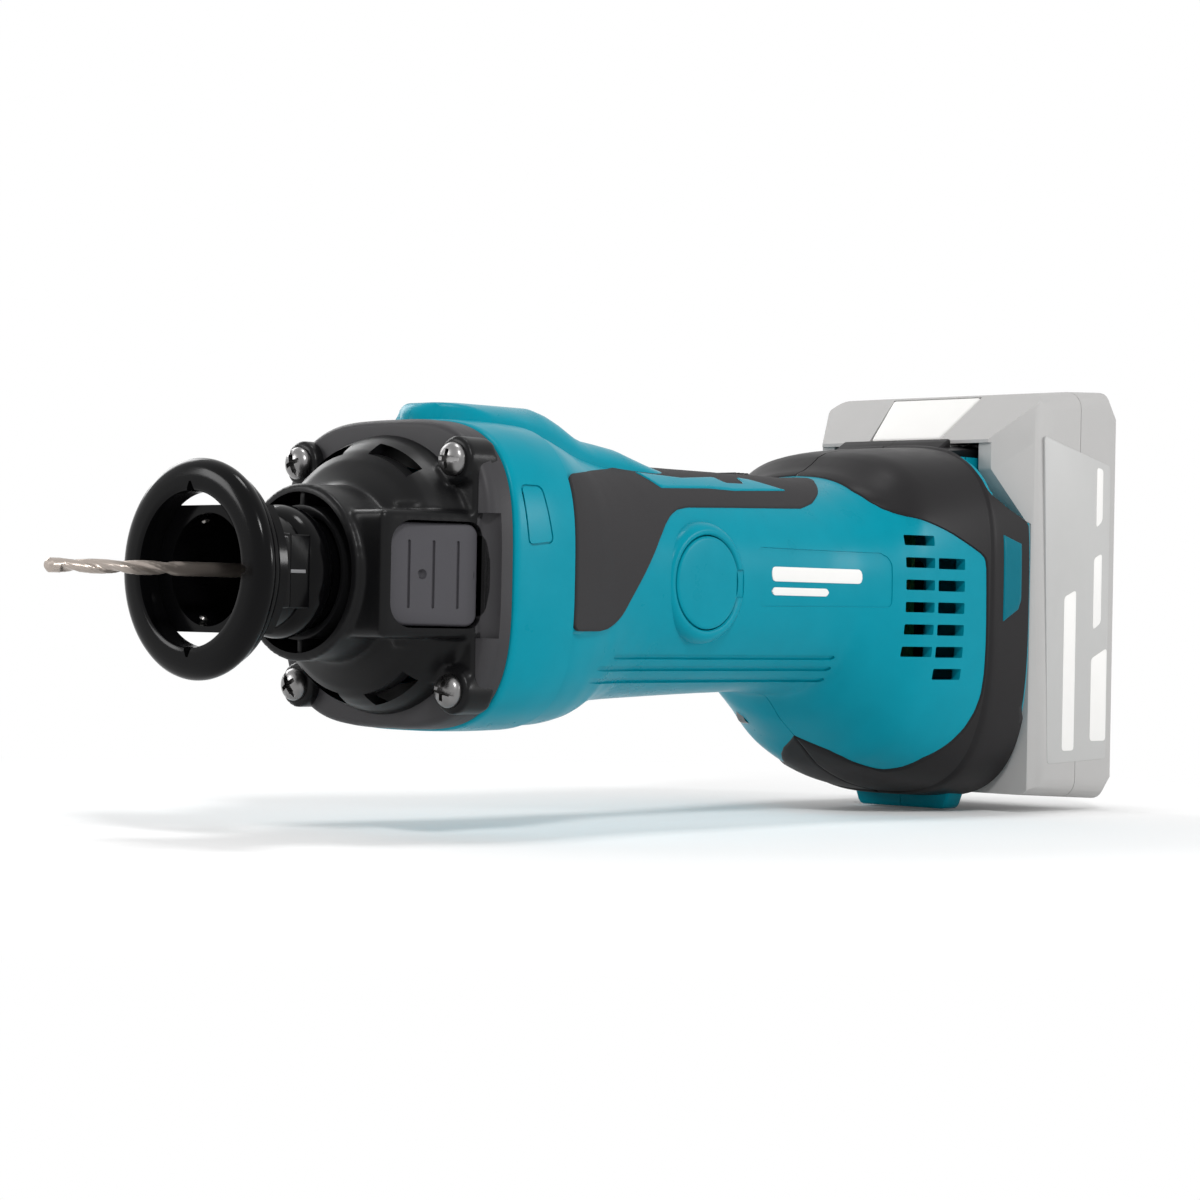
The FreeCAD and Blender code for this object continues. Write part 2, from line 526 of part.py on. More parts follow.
def pan_head_screw(x, y, z):
    """Screw along +X: rounded head with a cross and a slot, and its shank."""
    head = Part.makeCylinder(sheet.screw_head, 1.6, Vector(x - 1.6, y, z), Vector(1, 0, 0))
    crown = Part.makeSphere(5.2, Vector(x + 2.6, y, z)).common(
        Part.makeCylinder(sheet.screw_head, 3.0, Vector(x - 3.0, y, z), Vector(1, 0, 0)))
    shank = Part.makeCylinder(sheet.screw_shank - 0.1, 9.0, Vector(x, y, z), Vector(1, 0, 0))
    screw = head.fuse([crown, shank]).removeSplitter()
    slot = Part.makeBox(1.1, 2 * sheet.screw_head + 1, 0.9,
                        Vector(x - 2.8, y - sheet.screw_head - 0.5, z - 0.45))
    cross = Part.makeBox(1.5, 0.9, 4.6, Vector(x - 2.8, y - 0.45, z - 2.3))
    return screw.cut(slot).cut(cross)


node("flange_screws", feature("FlangeScrews", Part.makeCompound(
    [pan_head_screw(sheet.screw_front, y, z) for y, z in screw_places])))

# ---------------------------------------------------------------------------
# Shaft lock
# ---------------------------------------------------------------------------
lock_button = Part.Face(Part.makePolygon([
    Vector(sheet.lock_front, -sheet.lock_inner, -lock_top),
    Vector(sheet.lock_front, -sheet.lock_face, -lock_top),
    Vector(sheet.lock_rear, -sheet.lock_face - sheet.lock_slope, -lock_top),
    Vector(sheet.lock_rear, -sheet.lock_inner, -lock_top),
    Vector(sheet.lock_front, -sheet.lock_inner, -lock_top)])).extrude(Vector(0, 0, sheet.lock_height))
corner_edges = [edge for edge in lock_button.Edges if abs(edge.tangentAt(0).y) > 0.99]
lock_button = lock_button.makeFillet(sheet.lock_corner, corner_edges)
slope = math.atan2(sheet.lock_slope, sheet.lock_rear - sheet.lock_front)
for groove_x in (42.0, 48.0, 54.0):
    face_y = sheet.lock_face + (groove_x - sheet.lock_front) * math.tan(slope)
    lock_button = lock_button.cut(Part.makeBox(0.7, 1.4, 15.4, Vector(groove_x, -face_y - 0.9, -7.7)))
face_y = sheet.lock_face + (45.4 - sheet.lock_front) * math.tan(slope)
lock_button = lock_button.cut(Part.makeCylinder(1.2, 3, Vector(45.4, -face_y - 2, 0), Vector(0, 1, 0)))
node("shaft_lock_button", feature("ShaftLockButton", lock_button))
node("shaft_lock_pin", cylinder("ShaftLockPin", "lock_pin_radius", "lock_inner - lock_pin_tip",
                                "lock_pin_x", "-lock_inner", "0", "Y"))
spring_core = Part.makeCylinder(4.4, sheet.lock_inner - sheet.guide_radius - 0.2,
                                Vector(sheet.lock_pin_x, -sheet.lock_inner, 0), Vector(0, 1, 0))
spring_core = spring_core.cut(Part.makeCylinder(3.0, 20, Vector(sheet.lock_pin_x, -30, 0), Vector(0, 1, 0)))
node("shaft_lock_spring", feature("ShaftLockSpring", spring_core))

# ---------------------------------------------------------------------------
# Shoe and its depth clamp
# ---------------------------------------------------------------------------
ring = turned_shape([(0, sheet.shoe_hole_radius), (sheet.shoe_thickness, sheet.shoe_hole_radius),
                     (sheet.shoe_thickness, sheet.shoe_hole_radius + 1.2),
                     (sheet.shoe_thickness + sheet.shoe_ridge_length, sheet.shoe_hole_radius + 2.4),
                     (sheet.shoe_thickness + sheet.shoe_ridge_length, sheet.shoe_ridge_radius - 0.5),
                     (sheet.shoe_thickness + 0.6, sheet.shoe_ridge_radius),
                     (sheet.shoe_thickness, sheet.shoe_ridge_radius),
                     (sheet.shoe_thickness - 1.0, sheet.shoe_radius - 0.2),
                     (sheet.shoe_thickness - 1.6, sheet.shoe_radius), (0, sheet.shoe_radius)])
for turn in (0, 90, 180, 270):
    notch = Part.Face(Part.makePolygon([
        Vector(-1, -1.6, sheet.shoe_hole_radius - 0.6), Vector(-1, 1.6, sheet.shoe_hole_radius - 0.6),
        Vector(-1, 0, sheet.shoe_hole_radius + sheet.shoe_notch),
        Vector(-1, -1.6, sheet.shoe_hole_radius - 0.6)])).extrude(Vector(20, 0, 0))
    notch.rotate(Vector(0, 0, 0), Vector(1, 0, 0), turn)
    ring = ring.cut(notch)
node("shoe_ring", feature("ShoeRing", ring))

cup_bore = sheet.cup_radius - sheet.cup_wall
stem = turned_shape([(sheet.shoe_thickness + 0.6, cup_bore + sheet.cup_step), (8.2, cup_bore + sheet.cup_step),
                     (8.2, cup_bore), (sheet.cup_rear - 3, cup_bore), (sheet.cup_rear - 1.5, 11.5),
                     (sheet.stem_rear, sheet.stem_radius - sheet.stem_wall),
                     (sheet.stem_rear, sheet.stem_radius), (sheet.cup_rear, sheet.stem_radius),
                     (sheet.cup_rear - 0.5, sheet.stem_radius + 0.7), (sheet.cup_rear - 2.2, sheet.cup_radius),
                     (sheet.shoe_thickness + 0.6, sheet.cup_radius)])
arm_half = sheet.arm_height / 2
for side in (-1, 1):
    low = min(side * 12.9, side * sheet.arm_flat)
    arm = Part.makeBox(sheet.cup_rear - 3 - sheet.shoe_thickness, sheet.arm_flat - 12.9, sheet.arm_height,
                       Vector(sheet.shoe_thickness, low, -arm_half))
    foot_low = min(side * 12.9, side * (sheet.shoe_hole_radius + 3.4))
    bridge = Part.makeBox(5.0, sheet.shoe_hole_radius + 3.4 - 12.9, sheet.arm_height,
                          Vector(sheet.shoe_thickness + sheet.shoe_ridge_length, foot_low, -arm_half))
    stem = stem.fuse([arm, bridge])
stem = stem.removeSplitter()
stem = stem.cut(Part.makeBox(20, 0.5, sheet.mark_width, Vector(10.0, -sheet.arm_flat - 0.2, -0.4)))
rivets = []
for turn in (31, 149, 211, 329):
    rivet = Part.makeCylinder(sheet.rivet_radius, 2.2, Vector(10.0, 0, cup_bore - 0.6), Vector(0, 0, 1))
    rivet.rotate(Vector(0, 0, 0), Vector(1, 0, 0), turn)
    rivets.append(rivet)
node("shoe_stem", feature("ShoeStem", stem.cut(Part.makeCompound(rivets))))
node("shoe_rivets", feature("ShoeRivets", Part.makeCompound(rivets)))
node("index_line", box("IndexLine", "14.0", "0.3", "mark_width", "12.0", "-arm_flat", "-mark_width / 2"))

lever = Part.makeCylinder(3.0, sheet.clamp_width, Vector(0, 0, -clamp_half), Vector(0, 0, 1))
lever_arm = rounded_box(Vector(0, 0, -clamp_half),
                        Vector(sheet.clamp_length, sheet.clamp_thickness, clamp_half), 1.2, "z")
lever_arm.rotate(Vector(0, 0, 0), Vector(0, 0, 1), 40)
lever = lever.fuse(lever_arm).removeSplitter()
lever.translate(Vector(sheet.clamp_x, clamp_y, 0))
lever = lever.cut(Part.makeCylinder(sheet.clamp_pin_radius + sheet.running_gap, 40,
                                    Vector(sheet.clamp_x, clamp_y, -20), Vector(0, 0, 1)))
node("clamp_lever", feature("ClampLever", lever))
node("clamp_pin", cylinder("ClampPin", "clamp_pin_radius", "clamp_width + 2 * slide_gap + 5.2", "clamp_x",
                           "neck_radius + clamp_lift", "-clamp_width / 2 - slide_gap - 2.6", "Z"))
pad = Part.makeBox(5.6, clamp_y - 3.3 - sheet.stem_radius - 0.15, 6.6,
                   Vector(sheet.clamp_x - 2.8, sheet.stem_radius + 0.15, -3.3))
pad = pad.cut(Part.makeCylinder(sheet.stem_radius + 0.15, 60, Vector(0, 0, 0), Vector(1, 0, 0)))
node("clamp_pad", feature("ClampPad", pad))

# ---------------------------------------------------------------------------
# Spindle, collet and bit
# ---------------------------------------------------------------------------
bit_r = sheet.bit_radius
bit = Part.makeCylinder(bit_r, sheet.bit_seat - sheet.bit_tip, Vector(sheet.bit_tip, 0, 0), Vector(1, 0, 0))
flute_length = sheet.flute_rear - sheet.bit_tip
turns = 2.2
helix_steps = 22
for step in range(helix_steps):
    share = step / (helix_steps - 1)
    angle = 2 * math.pi * turns * share
    centre = Vector(sheet.bit_tip + flute_length * share, 1.55 * math.cos(angle), 1.55 * math.sin(angle))
    bit = bit.cut(Part.makeSphere(0.95, centre))
node("cutting_bit", feature("CuttingBit", bit))

turned("spindle", [("0", "bit_radius + 2.4"), ("12.0", "bit_radius + 2.4"),
                   ("12.0", "0"), ("shaft_rear - shaft_front", "0"),
                   ("shaft_rear - shaft_front", "rear_journal"),
                   ("rear_bearing_x - shaft_front", "rear_journal"),
                   ("rear_bearing_x - shaft_front", "shaft_radius"),
                   ("front_bearing_x - shaft_front", "shaft_radius"),
                   ("front_bearing_x - shaft_front", "shaft_collar"),
                   ("nut_front + nut_length + 0.5 - shaft_front", "shaft_collar"),
                   ("nut_front + nut_length + 0.5 - shaft_front", "6.2"), ("0", "6.2")], "shaft_front")
spindle = nodes["spindle"]
cross_bore = cylinder("LockBore", "lock_pin_radius + 0.4", "40", "lock_pin_x", "-20", "0", "Y")
spindle.Label = "SpindleTurned"
node("spindle", cut("SpindleDrilled", spindle, cross_bore))

collet = turned_shape([(sheet.nut_front + 1.2, bit_r + 0.01), (sheet.bit_seat - 1.0, bit_r + 0.01),
                       (sheet.bit_seat - 1.0, bit_r + 2.3), (sheet.shaft_front + 0.4, bit_r + 2.3),
                       (sheet.nut_front + 1.2, bit_r + 1.3)])
slits = [Part.makeBox(9, 0.5, 10, Vector(sheet.nut_front, -0.25, 0.5)) for _ in range(4)]
for index, slit in enumerate(slits):
    slit.rotate(Vector(0, 0, 0), Vector(1, 0, 0), 45 + 90 * index)
node("collet", feature("Collet", collet.cut(Part.makeCompound(slits))))

hexagon = [Vector(sheet.nut_front, sheet.nut_flats / math.sqrt(3) * math.cos(math.radians(60 * k)),
                  sheet.nut_flats / math.sqrt(3) * math.sin(math.radians(60 * k))) for k in range(6)]
nut = Part.Face(Part.makePolygon(hexagon + [hexagon[0]])).extrude(Vector(sheet.nut_length, 0, 0))
nut = nut.common(turned_shape([(sheet.nut_front, 0), (sheet.nut_front, 6.4), (sheet.nut_front + 3.5, 9.2),
                               (sheet.nut_front + sheet.nut_length, 9.2),
                               (sheet.nut_front + sheet.nut_length, 0)]))
nut = nut.cut(turned_shape([(sheet.nut_front - 1, 0), (sheet.nut_front - 1, bit_r + 1.5),
                            (sheet.nut_front + 1.2, bit_r + 1.5), (sheet.shaft_front, bit_r + 2.5),
                            (sheet.shaft_front - 0.2, 6.25),
                            (sheet.nut_front + sheet.nut_length + 1, 6.25),
                            (sheet.nut_front + sheet.nut_length + 1, 0)]))
node("collet_nut", feature("ColletNut", nut))


def bearing(name, inner, outer, width, start):
    """Make a ball bearing's outer race and its inner race with balls, as two nodes."""
    third = f"(({outer}) - ({inner})) / 3"
    tube(f"{name}_outer_race", outer, f"({outer}) - {third} + 0.35", width, start)
    tube(f"{name}_inner_race", f"({inner}) + {third} - 0.2", inner, width, start)


bearing("front_bearing", "shaft_radius", "front_bearing_outer", "front_bearing_width", "front_bearing_x")
bearing("rear_bearing", "rear_journal", "rear_bearing_outer", "rear_bearing_width", "rear_bearing_x")

# ---------------------------------------------------------------------------
# Motor
# ---------------------------------------------------------------------------
fan_end = sheet.fan_x + sheet.fan_length
fan = turned_shape([(sheet.fan_x, sheet.shaft_radius), (fan_end, sheet.shaft_radius),
                    (fan_end, sheet.fan_radius), (fan_end - 1.4, sheet.fan_radius),
                    (fan_end - 1.6, 9.0), (sheet.fan_x, 8.0)])
for index in range(int(sheet.fan_blades)):
    blade = Part.makeBox(sheet.fan_length - 1.2, 1.2, sheet.fan_radius - 8.5,
                         Vector(sheet.fan_x, -0.6, 8.0))
    blade.rotate(Vector(0, 0, 8), Vector(1, 0, 0), 18)
    blade.rotate(Vector(0, 0, 0), Vector(1, 0, 0), 360 * index / sheet.fan_blades)
    fan = fan.fuse(blade)
node("fan", feature("Fan", fan.removeSplitter()))

core = Part.makeCylinder(sheet.core_radius, sheet.core_length, Vector(sheet.core_x, 0, 0), Vector(1, 0, 0))
core = core.cut(Part.makeCylinder(sheet.shaft_radius, 200, Vector(0, 0, 0), Vector(1, 0, 0)))
windings = turned_shape([(sheet.core_x - sheet.winding_overhang, 7.0), (sheet.core_x, 6.4),
                         (sheet.core_x, 14.0), (sheet.core_x - sheet.winding_overhang + 2, 13.6),
                         (sheet.core_x - sheet.winding_overhang, 11.6)])
core_end = sheet.core_x + sheet.core_length
rear_windings = turned_shape([(core_end, 6.4), (core_end + sheet.winding_overhang, 7.0),
                              (core_end + sheet.winding_overhang, 11.6),
                              (core_end + sheet.winding_overhang - 2, 13.6), (core_end, 14.0)])
windings = windings.fuse(rear_windings)
for index in range(int(sheet.core_slots)):
    turn = 360 * index / sheet.core_slots
    slot_wire = Part.makeBox(sheet.core_length, 2.6, 6.0, Vector(sheet.core_x, -1.3, 8.0))
    mouth = Part.makeBox(sheet.core_length, 1.2, 4.0, Vector(sheet.core_x, -0.6, 13.0))
    for piece in (slot_wire, mouth):
        piece.rotate(Vector(0, 0, 0), Vector(1, 0, 0), turn)
    core = core.cut(slot_wire).cut(mouth)
    windings = windings.fuse(slot_wire)
node("armature_core", feature("ArmatureCore", core))
node("armature_windings", feature("ArmatureWindings", windings.removeSplitter()))

commutator = Part.makeCylinder(sheet.commutator_radius, sheet.commutator_length,
                               Vector(sheet.commutator_x, 0, 0), Vector(1, 0, 0))
commutator = commutator.cut(Part.makeCylinder(sheet.shaft_radius, 200, Vector(0, 0, 0), Vector(1, 0, 0)))
for index in range(20):
    gap = Part.makeBox(sheet.commutator_length - 1.5, 0.4, 1.2,
                       Vector(sheet.commutator_x + 1.5, -0.2, sheet.commutator_radius - 1.0))
    gap.rotate(Vector(0, 0, 0), Vector(1, 0, 0), 18 * index)
    commutator = commutator.cut(gap)
node("commutator", feature("Commutator", commutator))

tube("motor_yoke", "yoke_radius", "yoke_radius - yoke_wall", "yoke_length", "yoke_x")
magnet_outer = sheet.yoke_radius - sheet.yoke_wall - 0.02
node("magnets", feature("Magnets", Part.makeCompound([
    sector(magnet_outer - sheet.magnet_thickness, magnet_outer, middle, 130,
           sheet.yoke_x + 3, sheet.yoke_x + sheet.yoke_length - 3) for middle in (0, 180)])))

brush_x, reach = sheet.brush_x, sheet.brush_reach
brush_gap = sheet.commutator_radius + 0.1
for name, side in (("right", -1), ("left", 1)):
    def along(low, high, half_x, half_z):
        """Box from one distance to another out from the axis, on this side."""
        start = low if side > 0 else -high
        return Part.makeBox(2 * half_x, high - low, 2 * half_z, Vector(brush_x - half_x, start, -half_z))

    def round_along(low, high, radius):
        """Cylinder from one distance to another out from the axis, on this side."""
        return Part.makeCylinder(radius, high - low, Vector(brush_x, side * low, 0), Vector(0, side, 0))

    holder = along(sheet.commutator_radius + 1.5, reach, 6.0, 5.0)
    holder = holder.fuse(along(reach - 3, reach, 9.0, 9.0)).removeSplitter()
    holder = holder.cut(along(10, 40, 4.1, 3.1))
    node(f"brush_holder_{name}", feature(f"BrushHolder{name}", holder))
    brush = along(brush_gap, brush_gap + 6.5, 4.0, 3.0)
    brush = brush.cut(Part.makeCylinder(brush_gap, 40, Vector(brush_x - 20, 0, 0), Vector(1, 0, 0)))
    node(f"carbon_brush_{name}", feature(f"CarbonBrush{name}", brush))
    brush_spring = round_along(brush_gap + 6.5, reach, 2.6).cut(round_along(brush_gap + 5, reach + 1, 1.5))
    node(f"brush_spring_{name}", feature(f"BrushSpring{name}", brush_spring))
    cap = round_along(reach, reach + 5.0, 8.0).cut(
        Part.makeBox(20, 1.2, 1.6, Vector(brush_x - 10, side * (reach + 5.0) - 0.6, -0.8)))
    node(f"brush_cap_{name}", feature(f"BrushCap{name}", cap))
    cover = round_along(reach + 5.4, sheet.cover_face, sheet.cover_radius)
    cover = cover.makeFillet(0.5, [edge for edge in cover.Edges
                                   if abs(abs(edge.CenterOfMass.y) - sheet.cover_face) < 0.01])
    cover = cover.cut(round_along(reach + 5.0, reach + 5.8, 9.0))
    node(f"cap_cover_{name}", feature(f"CapCover{name}", cover))

# ---------------------------------------------------------------------------
# Slide switch and electronics
# ---------------------------------------------------------------------------
switch_x, knob_x = sheet.switch_x, sheet.knob_x
switch_top = 17.0
switch = rounded_box(Vector(switch_x, -9, -4), Vector(switch_x + sheet.switch_length, 9, switch_top), 1.5, "y")
stalk_bed = Part.makeBox(sheet.knob_travel + 5.0, 5.0, 12,
                         Vector(knob_x - sheet.knob_travel + 1.5, -2.5, switch_top - 6))
node("switch_body", feature("SwitchBody", switch.cut(stalk_bed)))
knob_low = sheet.handle_half - sheet.skin - 0.1
knob_top = knob_low + sheet.knob_thickness
stalk = Part.makeBox(4.0, 4.0, knob_top - 0.8 - (switch_top - 5.5), Vector(knob_x + 2.0, -2.0, switch_top - 5.5))
knob = rounded_box(Vector(knob_x, -sheet.knob_width / 2, knob_low),
                   Vector(knob_x + sheet.knob_length, sheet.knob_width / 2, knob_top), 1.0, "z")
for index in range(3):
    knob = knob.cut(Part.makeBox(0.8, 20, 0.8, Vector(knob_x + 2.2 + 2.0 * index, -10, knob_top - 0.6)))
node("switch_stalk", feature("SwitchStalk", stalk))
node("switch_knob", feature("SwitchKnob", knob.cut(stalk)))
node("control_board", box("ControlBoard", "1.6", "36", "44", "236", "-18", "-24"))
node("capacitor", cylinder("Capacitor", "6.0", "16.0", "220.0", "0", "8.0", "X"))
node("board_heat_sink", box("BoardHeatSink", "10.0", "24", "12", "226", "-12", "-20"))

terminal = rounded_box(Vector(blade_x - 4, -13, -24), Vector(blade_x, 13, 8), 1.5, "x")
node("terminal_block", feature("TerminalBlock", terminal))
node("terminal_blades", feature("TerminalBlades", Part.makeCompound(blades)))

wires = []
for y, z in ((4.0, 4.0), (-4.0, 4.0)):
    wires.append(Part.makeCylinder(1.2, 39.6, Vector(switch_x + sheet.switch_length + 0.2, y * 1.5, z - 6),
                                   Vector(1, 0, 0)))
node("power_wires", feature("PowerWires", Part.makeCompound(wires)))

# ---------------------------------------------------------------------------
# Battery pack
# ---------------------------------------------------------------------------
front, rear, side_y = sheet.battery_front, sheet.battery_rear, sheet.battery_half_width
up, down, nose_x = sheet.battery_top, sheet.battery_bottom, sheet.battery_nose
pack_outline = [(front, -down + 1.5), (rear - 5, -down - 0.5), (rear, -down + 5), (rear, up - 7),
                (rear - 5, up), (front + 20, up - 1.0), (front + 5, up - 2.2),
                (nose_x, up - 15.5), (nose_x, up - 16.4), (front, up - 16.4)]


def pack_solid(inset):
    """Battery pack's outside, moved inwards by an inset."""
    middle_x, middle_z = (front + rear) / 2, 0
    points = []
    for x, z in pack_outline:
        points.append((x + inset if x < middle_x else x - inset, z + inset if z < middle_z else z - inset))
    solid = slab(points, side_y - inset)
    sides = [edge for edge in solid.Edges
             if abs(abs(edge.CenterOfMass.y) - (side_y - inset)) < 0.01 and edge.CenterOfMass.x > front + 2]
    return solid.makeFillet(5.0 - inset, sides)


pack = pack_solid(0)
rail = rounded_box(Vector(sheet.rail_front, -sheet.rail_half_width, sheet.rail_bottom + 0.5),
                   Vector(front + 0.5, sheet.rail_half_width, up - 16.4), 1.0, "z")
for side in (-1, 1):
    wall_y = side * (sheet.rail_half_width + sheet.rail_gap)
    depth = rib_depth + 0.5
    low = min(wall_y, wall_y - side * depth)
    rail = rail.cut(Part.makeBox(3.2, depth, 120, Vector(258.2, low, -60)))
for y in (-9, -3, 3, 9):
    rail = rail.cut(Part.makeBox(6.2, 1.8, 44, Vector(sheet.rail_front - 0.1, y - 0.9, sheet.rail_bottom)))
cavity = pack_solid(sheet.battery_wall).common(
    Part.makeBox(60, 200, 106, Vector(front + sheet.battery_wall, -100, -53)))
pack_shell = pack.fuse(rail).removeSplitter().cut(cavity)

# latch: sloped thumb panel, a stem down inside the rail block and a hook into the foot
slope_x, slope_z = front + 5 - nose_x, up - 2.2 - (up - 15.5)
slope_length = math.hypot(slope_x, slope_z)
latch_half = sheet.latch_half_width
latch_low, latch_high = 0.14, 0.93


def on_slope(share, depth):
    """Point (x, z) on the pack's nose slope, moved into the pack by a depth."""
    return (nose_x + slope_x * share + depth * slope_z / slope_length,
            up - 15.5 + slope_z * share - depth * slope_x / slope_length)


panel = [on_slope(latch_low, 0), on_slope(latch_high, 0), on_slope(latch_high, 3.0), on_slope(latch_low, 3.0)]
latch_button = slab(panel, latch_half)
gap = sheet.slide_gap
bed_low, bed_high = latch_low - 0.03, latch_high + 0.03
push = sheet.latch_travel + gap


def pushed(point):
    """Point moved into the pack by the latch's travel."""
    return (point[0] + push, point[1])


bed = slab([on_slope(bed_low, -2), on_slope(bed_high, -2), pushed(on_slope(bed_high, 0)),
            pushed(on_slope(bed_high, 3.3)), pushed(on_slope(bed_low, 3.3)), on_slope(bed_low, 3.3)],
           latch_half + gap)
stem_x = panel[3][0] + 1.0
latch_stem = Part.makeBox(3.0, 8.0, 16.0, Vector(stem_x, -4.0, 28.0))
latch_hook = Part.makeBox(stem_x - sheet.rail_front, 8.0, 5.0, Vector(sheet.rail_front + 0.2, -4.0, 28.0))
latch = latch_button.fuse([latch_stem, latch_hook]).removeSplitter()
stem_bed = Part.makeBox(3.0 + sheet.latch_travel + 2 * gap, 8.0 + 2 * gap, 19.0 + gap,
                        Vector(stem_x - gap, -4.0 - gap, 28.0 - gap))
hook_bed = Part.makeBox(20, 8.0 + 2 * gap, 5.0 + 2 * gap, Vector(sheet.rail_front - 3, -4.0 - gap, 28.0 - gap))
hook_bed = hook_bed.common(Part.makeBox(stem_x - sheet.rail_front + 5, 20, 60,
                                        Vector(sheet.rail_front - 3, -10, 0)))
pack_shell = pack_shell.cut(bed).cut(stem_bed).cut(hook_bed)

parting_x = (front + rear) / 2
lid_zone = Part.makeBox(60, 200, 200, Vector(parting_x, -100, -100))
node("battery_case", feature("BatteryCase", pack_shell.cut(lid_zone)))
node("battery_cover", feature("BatteryCover", pack_shell.common(lid_zone)))
node("battery_latch", feature("BatteryLatch", latch))

cells = []
layers = (front + sheet.battery_wall + sheet.cell_radius + 0.2,
          rear - sheet.battery_wall - sheet.cell_radius - 0.2)
for layer_x in layers:
    for index in range(int(sheet.cell_rows)):
        z = (index - (sheet.cell_rows - 1) / 2) * sheet.cell_pitch
        cells.append(Part.makeCylinder(sheet.cell_radius, sheet.cell_length,
                                       Vector(layer_x, -sheet.cell_length / 2, z), Vector(0, 1, 0)))
node("battery_cells", feature("BatteryCells", Part.makeCompound(cells)))

# ---------------------------------------------------------------------------
# Check every object, then write one STEP file per node
# ---------------------------------------------------------------------------
doc.recompute()
for item in doc.Objects:
    if "Invalid" in item.State or "Error" in item.State:
        raise RuntimeError(f"{item.Label} failed: {item.State}")
os.makedirs("parts", exist_ok=True)
for label, thing in nodes.items():
    shape = thing.Shape
    if shape.isNull() or not shape.isValid():
        raise RuntimeError(f"{label} has no valid shape")
    shape.exportStep(f"parts/{label}.step")
    print(f"{label}: {len(shape.Solids)} solid(s), {shape.Volume / 1000:.2f} cm3")
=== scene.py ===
"""Looks for a cordless cut-out router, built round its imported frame.

Lengths are millimetres in the frame's own axes: the origin is where the spindle axis meets
the shoe's front face, +X runs back to the battery, +Z is up and -Y is the side with the
shaft-lock button. Each sub-assembly is a class that builds its meshes and dresses them.
"""

import json
import logging
import math
from dataclasses import dataclass
from enum import Enum
from functools import lru_cache
from typing import Callable, Optional, Sequence

import bmesh
import bpy
from mathutils import Matrix, Vector

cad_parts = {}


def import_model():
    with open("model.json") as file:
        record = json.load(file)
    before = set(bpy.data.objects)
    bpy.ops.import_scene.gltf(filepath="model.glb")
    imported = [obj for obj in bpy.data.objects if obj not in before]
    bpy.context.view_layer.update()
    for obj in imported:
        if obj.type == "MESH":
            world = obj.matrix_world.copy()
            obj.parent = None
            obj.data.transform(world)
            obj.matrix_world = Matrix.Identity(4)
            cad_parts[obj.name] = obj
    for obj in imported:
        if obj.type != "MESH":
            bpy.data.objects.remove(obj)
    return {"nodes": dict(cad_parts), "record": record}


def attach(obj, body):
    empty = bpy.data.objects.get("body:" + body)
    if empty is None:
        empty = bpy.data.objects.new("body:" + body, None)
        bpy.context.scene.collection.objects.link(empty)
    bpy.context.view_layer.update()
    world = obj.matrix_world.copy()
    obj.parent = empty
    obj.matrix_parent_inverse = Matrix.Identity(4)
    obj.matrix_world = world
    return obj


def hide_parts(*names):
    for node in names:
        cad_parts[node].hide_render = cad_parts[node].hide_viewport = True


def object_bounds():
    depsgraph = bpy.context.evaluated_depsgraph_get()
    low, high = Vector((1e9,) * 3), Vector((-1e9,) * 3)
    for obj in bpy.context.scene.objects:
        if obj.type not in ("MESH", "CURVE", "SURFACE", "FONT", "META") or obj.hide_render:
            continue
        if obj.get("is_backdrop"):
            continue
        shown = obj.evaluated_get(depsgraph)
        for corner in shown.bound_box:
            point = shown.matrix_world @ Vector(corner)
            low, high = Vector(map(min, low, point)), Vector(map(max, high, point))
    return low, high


LOG = logging.getLogger("router")
MM = 0.001
SEAM = 0.09  # half the gap between the two halves
TURN = 2 * math.pi
ALONG = 0.99  # least share of an edge's direction that counts as along an axis
RAIL_GAP = 16.5  # half the width of the channel for the battery's rail block
LOCK_MIDDLE = 45.0  # x that parts the lock pad's front corners from its rear ones
Point = tuple[float, float]
Mesh = bmesh.types.BMesh


class Side(Enum):
    """The two sides of the tool's centre plane."""

    RIGHT = -1
    LEFT = 1

    @property
    def word(self) -> str:
        """The side's name in a piece's name."""
        return self.name.lower()


class Way(Enum):
    """The three axes, by their place in a vector."""

    X = 0
    Y = 1
    Z = 2


# ---------------------------------------------------------------------------
# Mesh tools
# ---------------------------------------------------------------------------
def joined(*shells: Mesh) -> Mesh:
    """Gather several closed shells in the first.

    Args:
        shells: meshes to gather; all but the first are freed.

    Returns:
        The first mesh, with the others' shells in it.
    """
    for extra in shells[1:]:
        scratch = bpy.data.meshes.new("scratch")
        extra.to_mesh(scratch)
        shells[0].from_mesh(scratch)
        bpy.data.meshes.remove(scratch)
        extra.free()
    return shells[0]


def spun(profile: Sequence[Point], steps: int = 96, ring: bool = False) -> Mesh:
    """Turn a profile about the spindle axis.

    Args:
        profile: (x, radius) points; the ends lie on the axis unless it is a ring.
        steps: faces round the turn.
        ring: join the last point to the first, for a piece with a bore.

    Returns:
        A closed shell.
    """
    shell = bmesh.new()
    verts = [shell.verts.new((x, 0.0, radius)) for x, radius in profile]
    edges = [shell.edges.new(pair) for pair in zip(verts, verts[1:])]
    if ring:
        edges.append(shell.edges.new((verts[-1], verts[0])))
    bmesh.ops.spin(shell, geom=verts + edges, cent=(0, 0, 0), axis=(1, 0, 0),
                   angle=TURN, steps=steps, use_merge=True)
    bmesh.ops.remove_doubles(shell, verts=shell.verts, dist=1e-4)
    bmesh.ops.recalc_face_normals(shell, faces=shell.faces)
    return shell


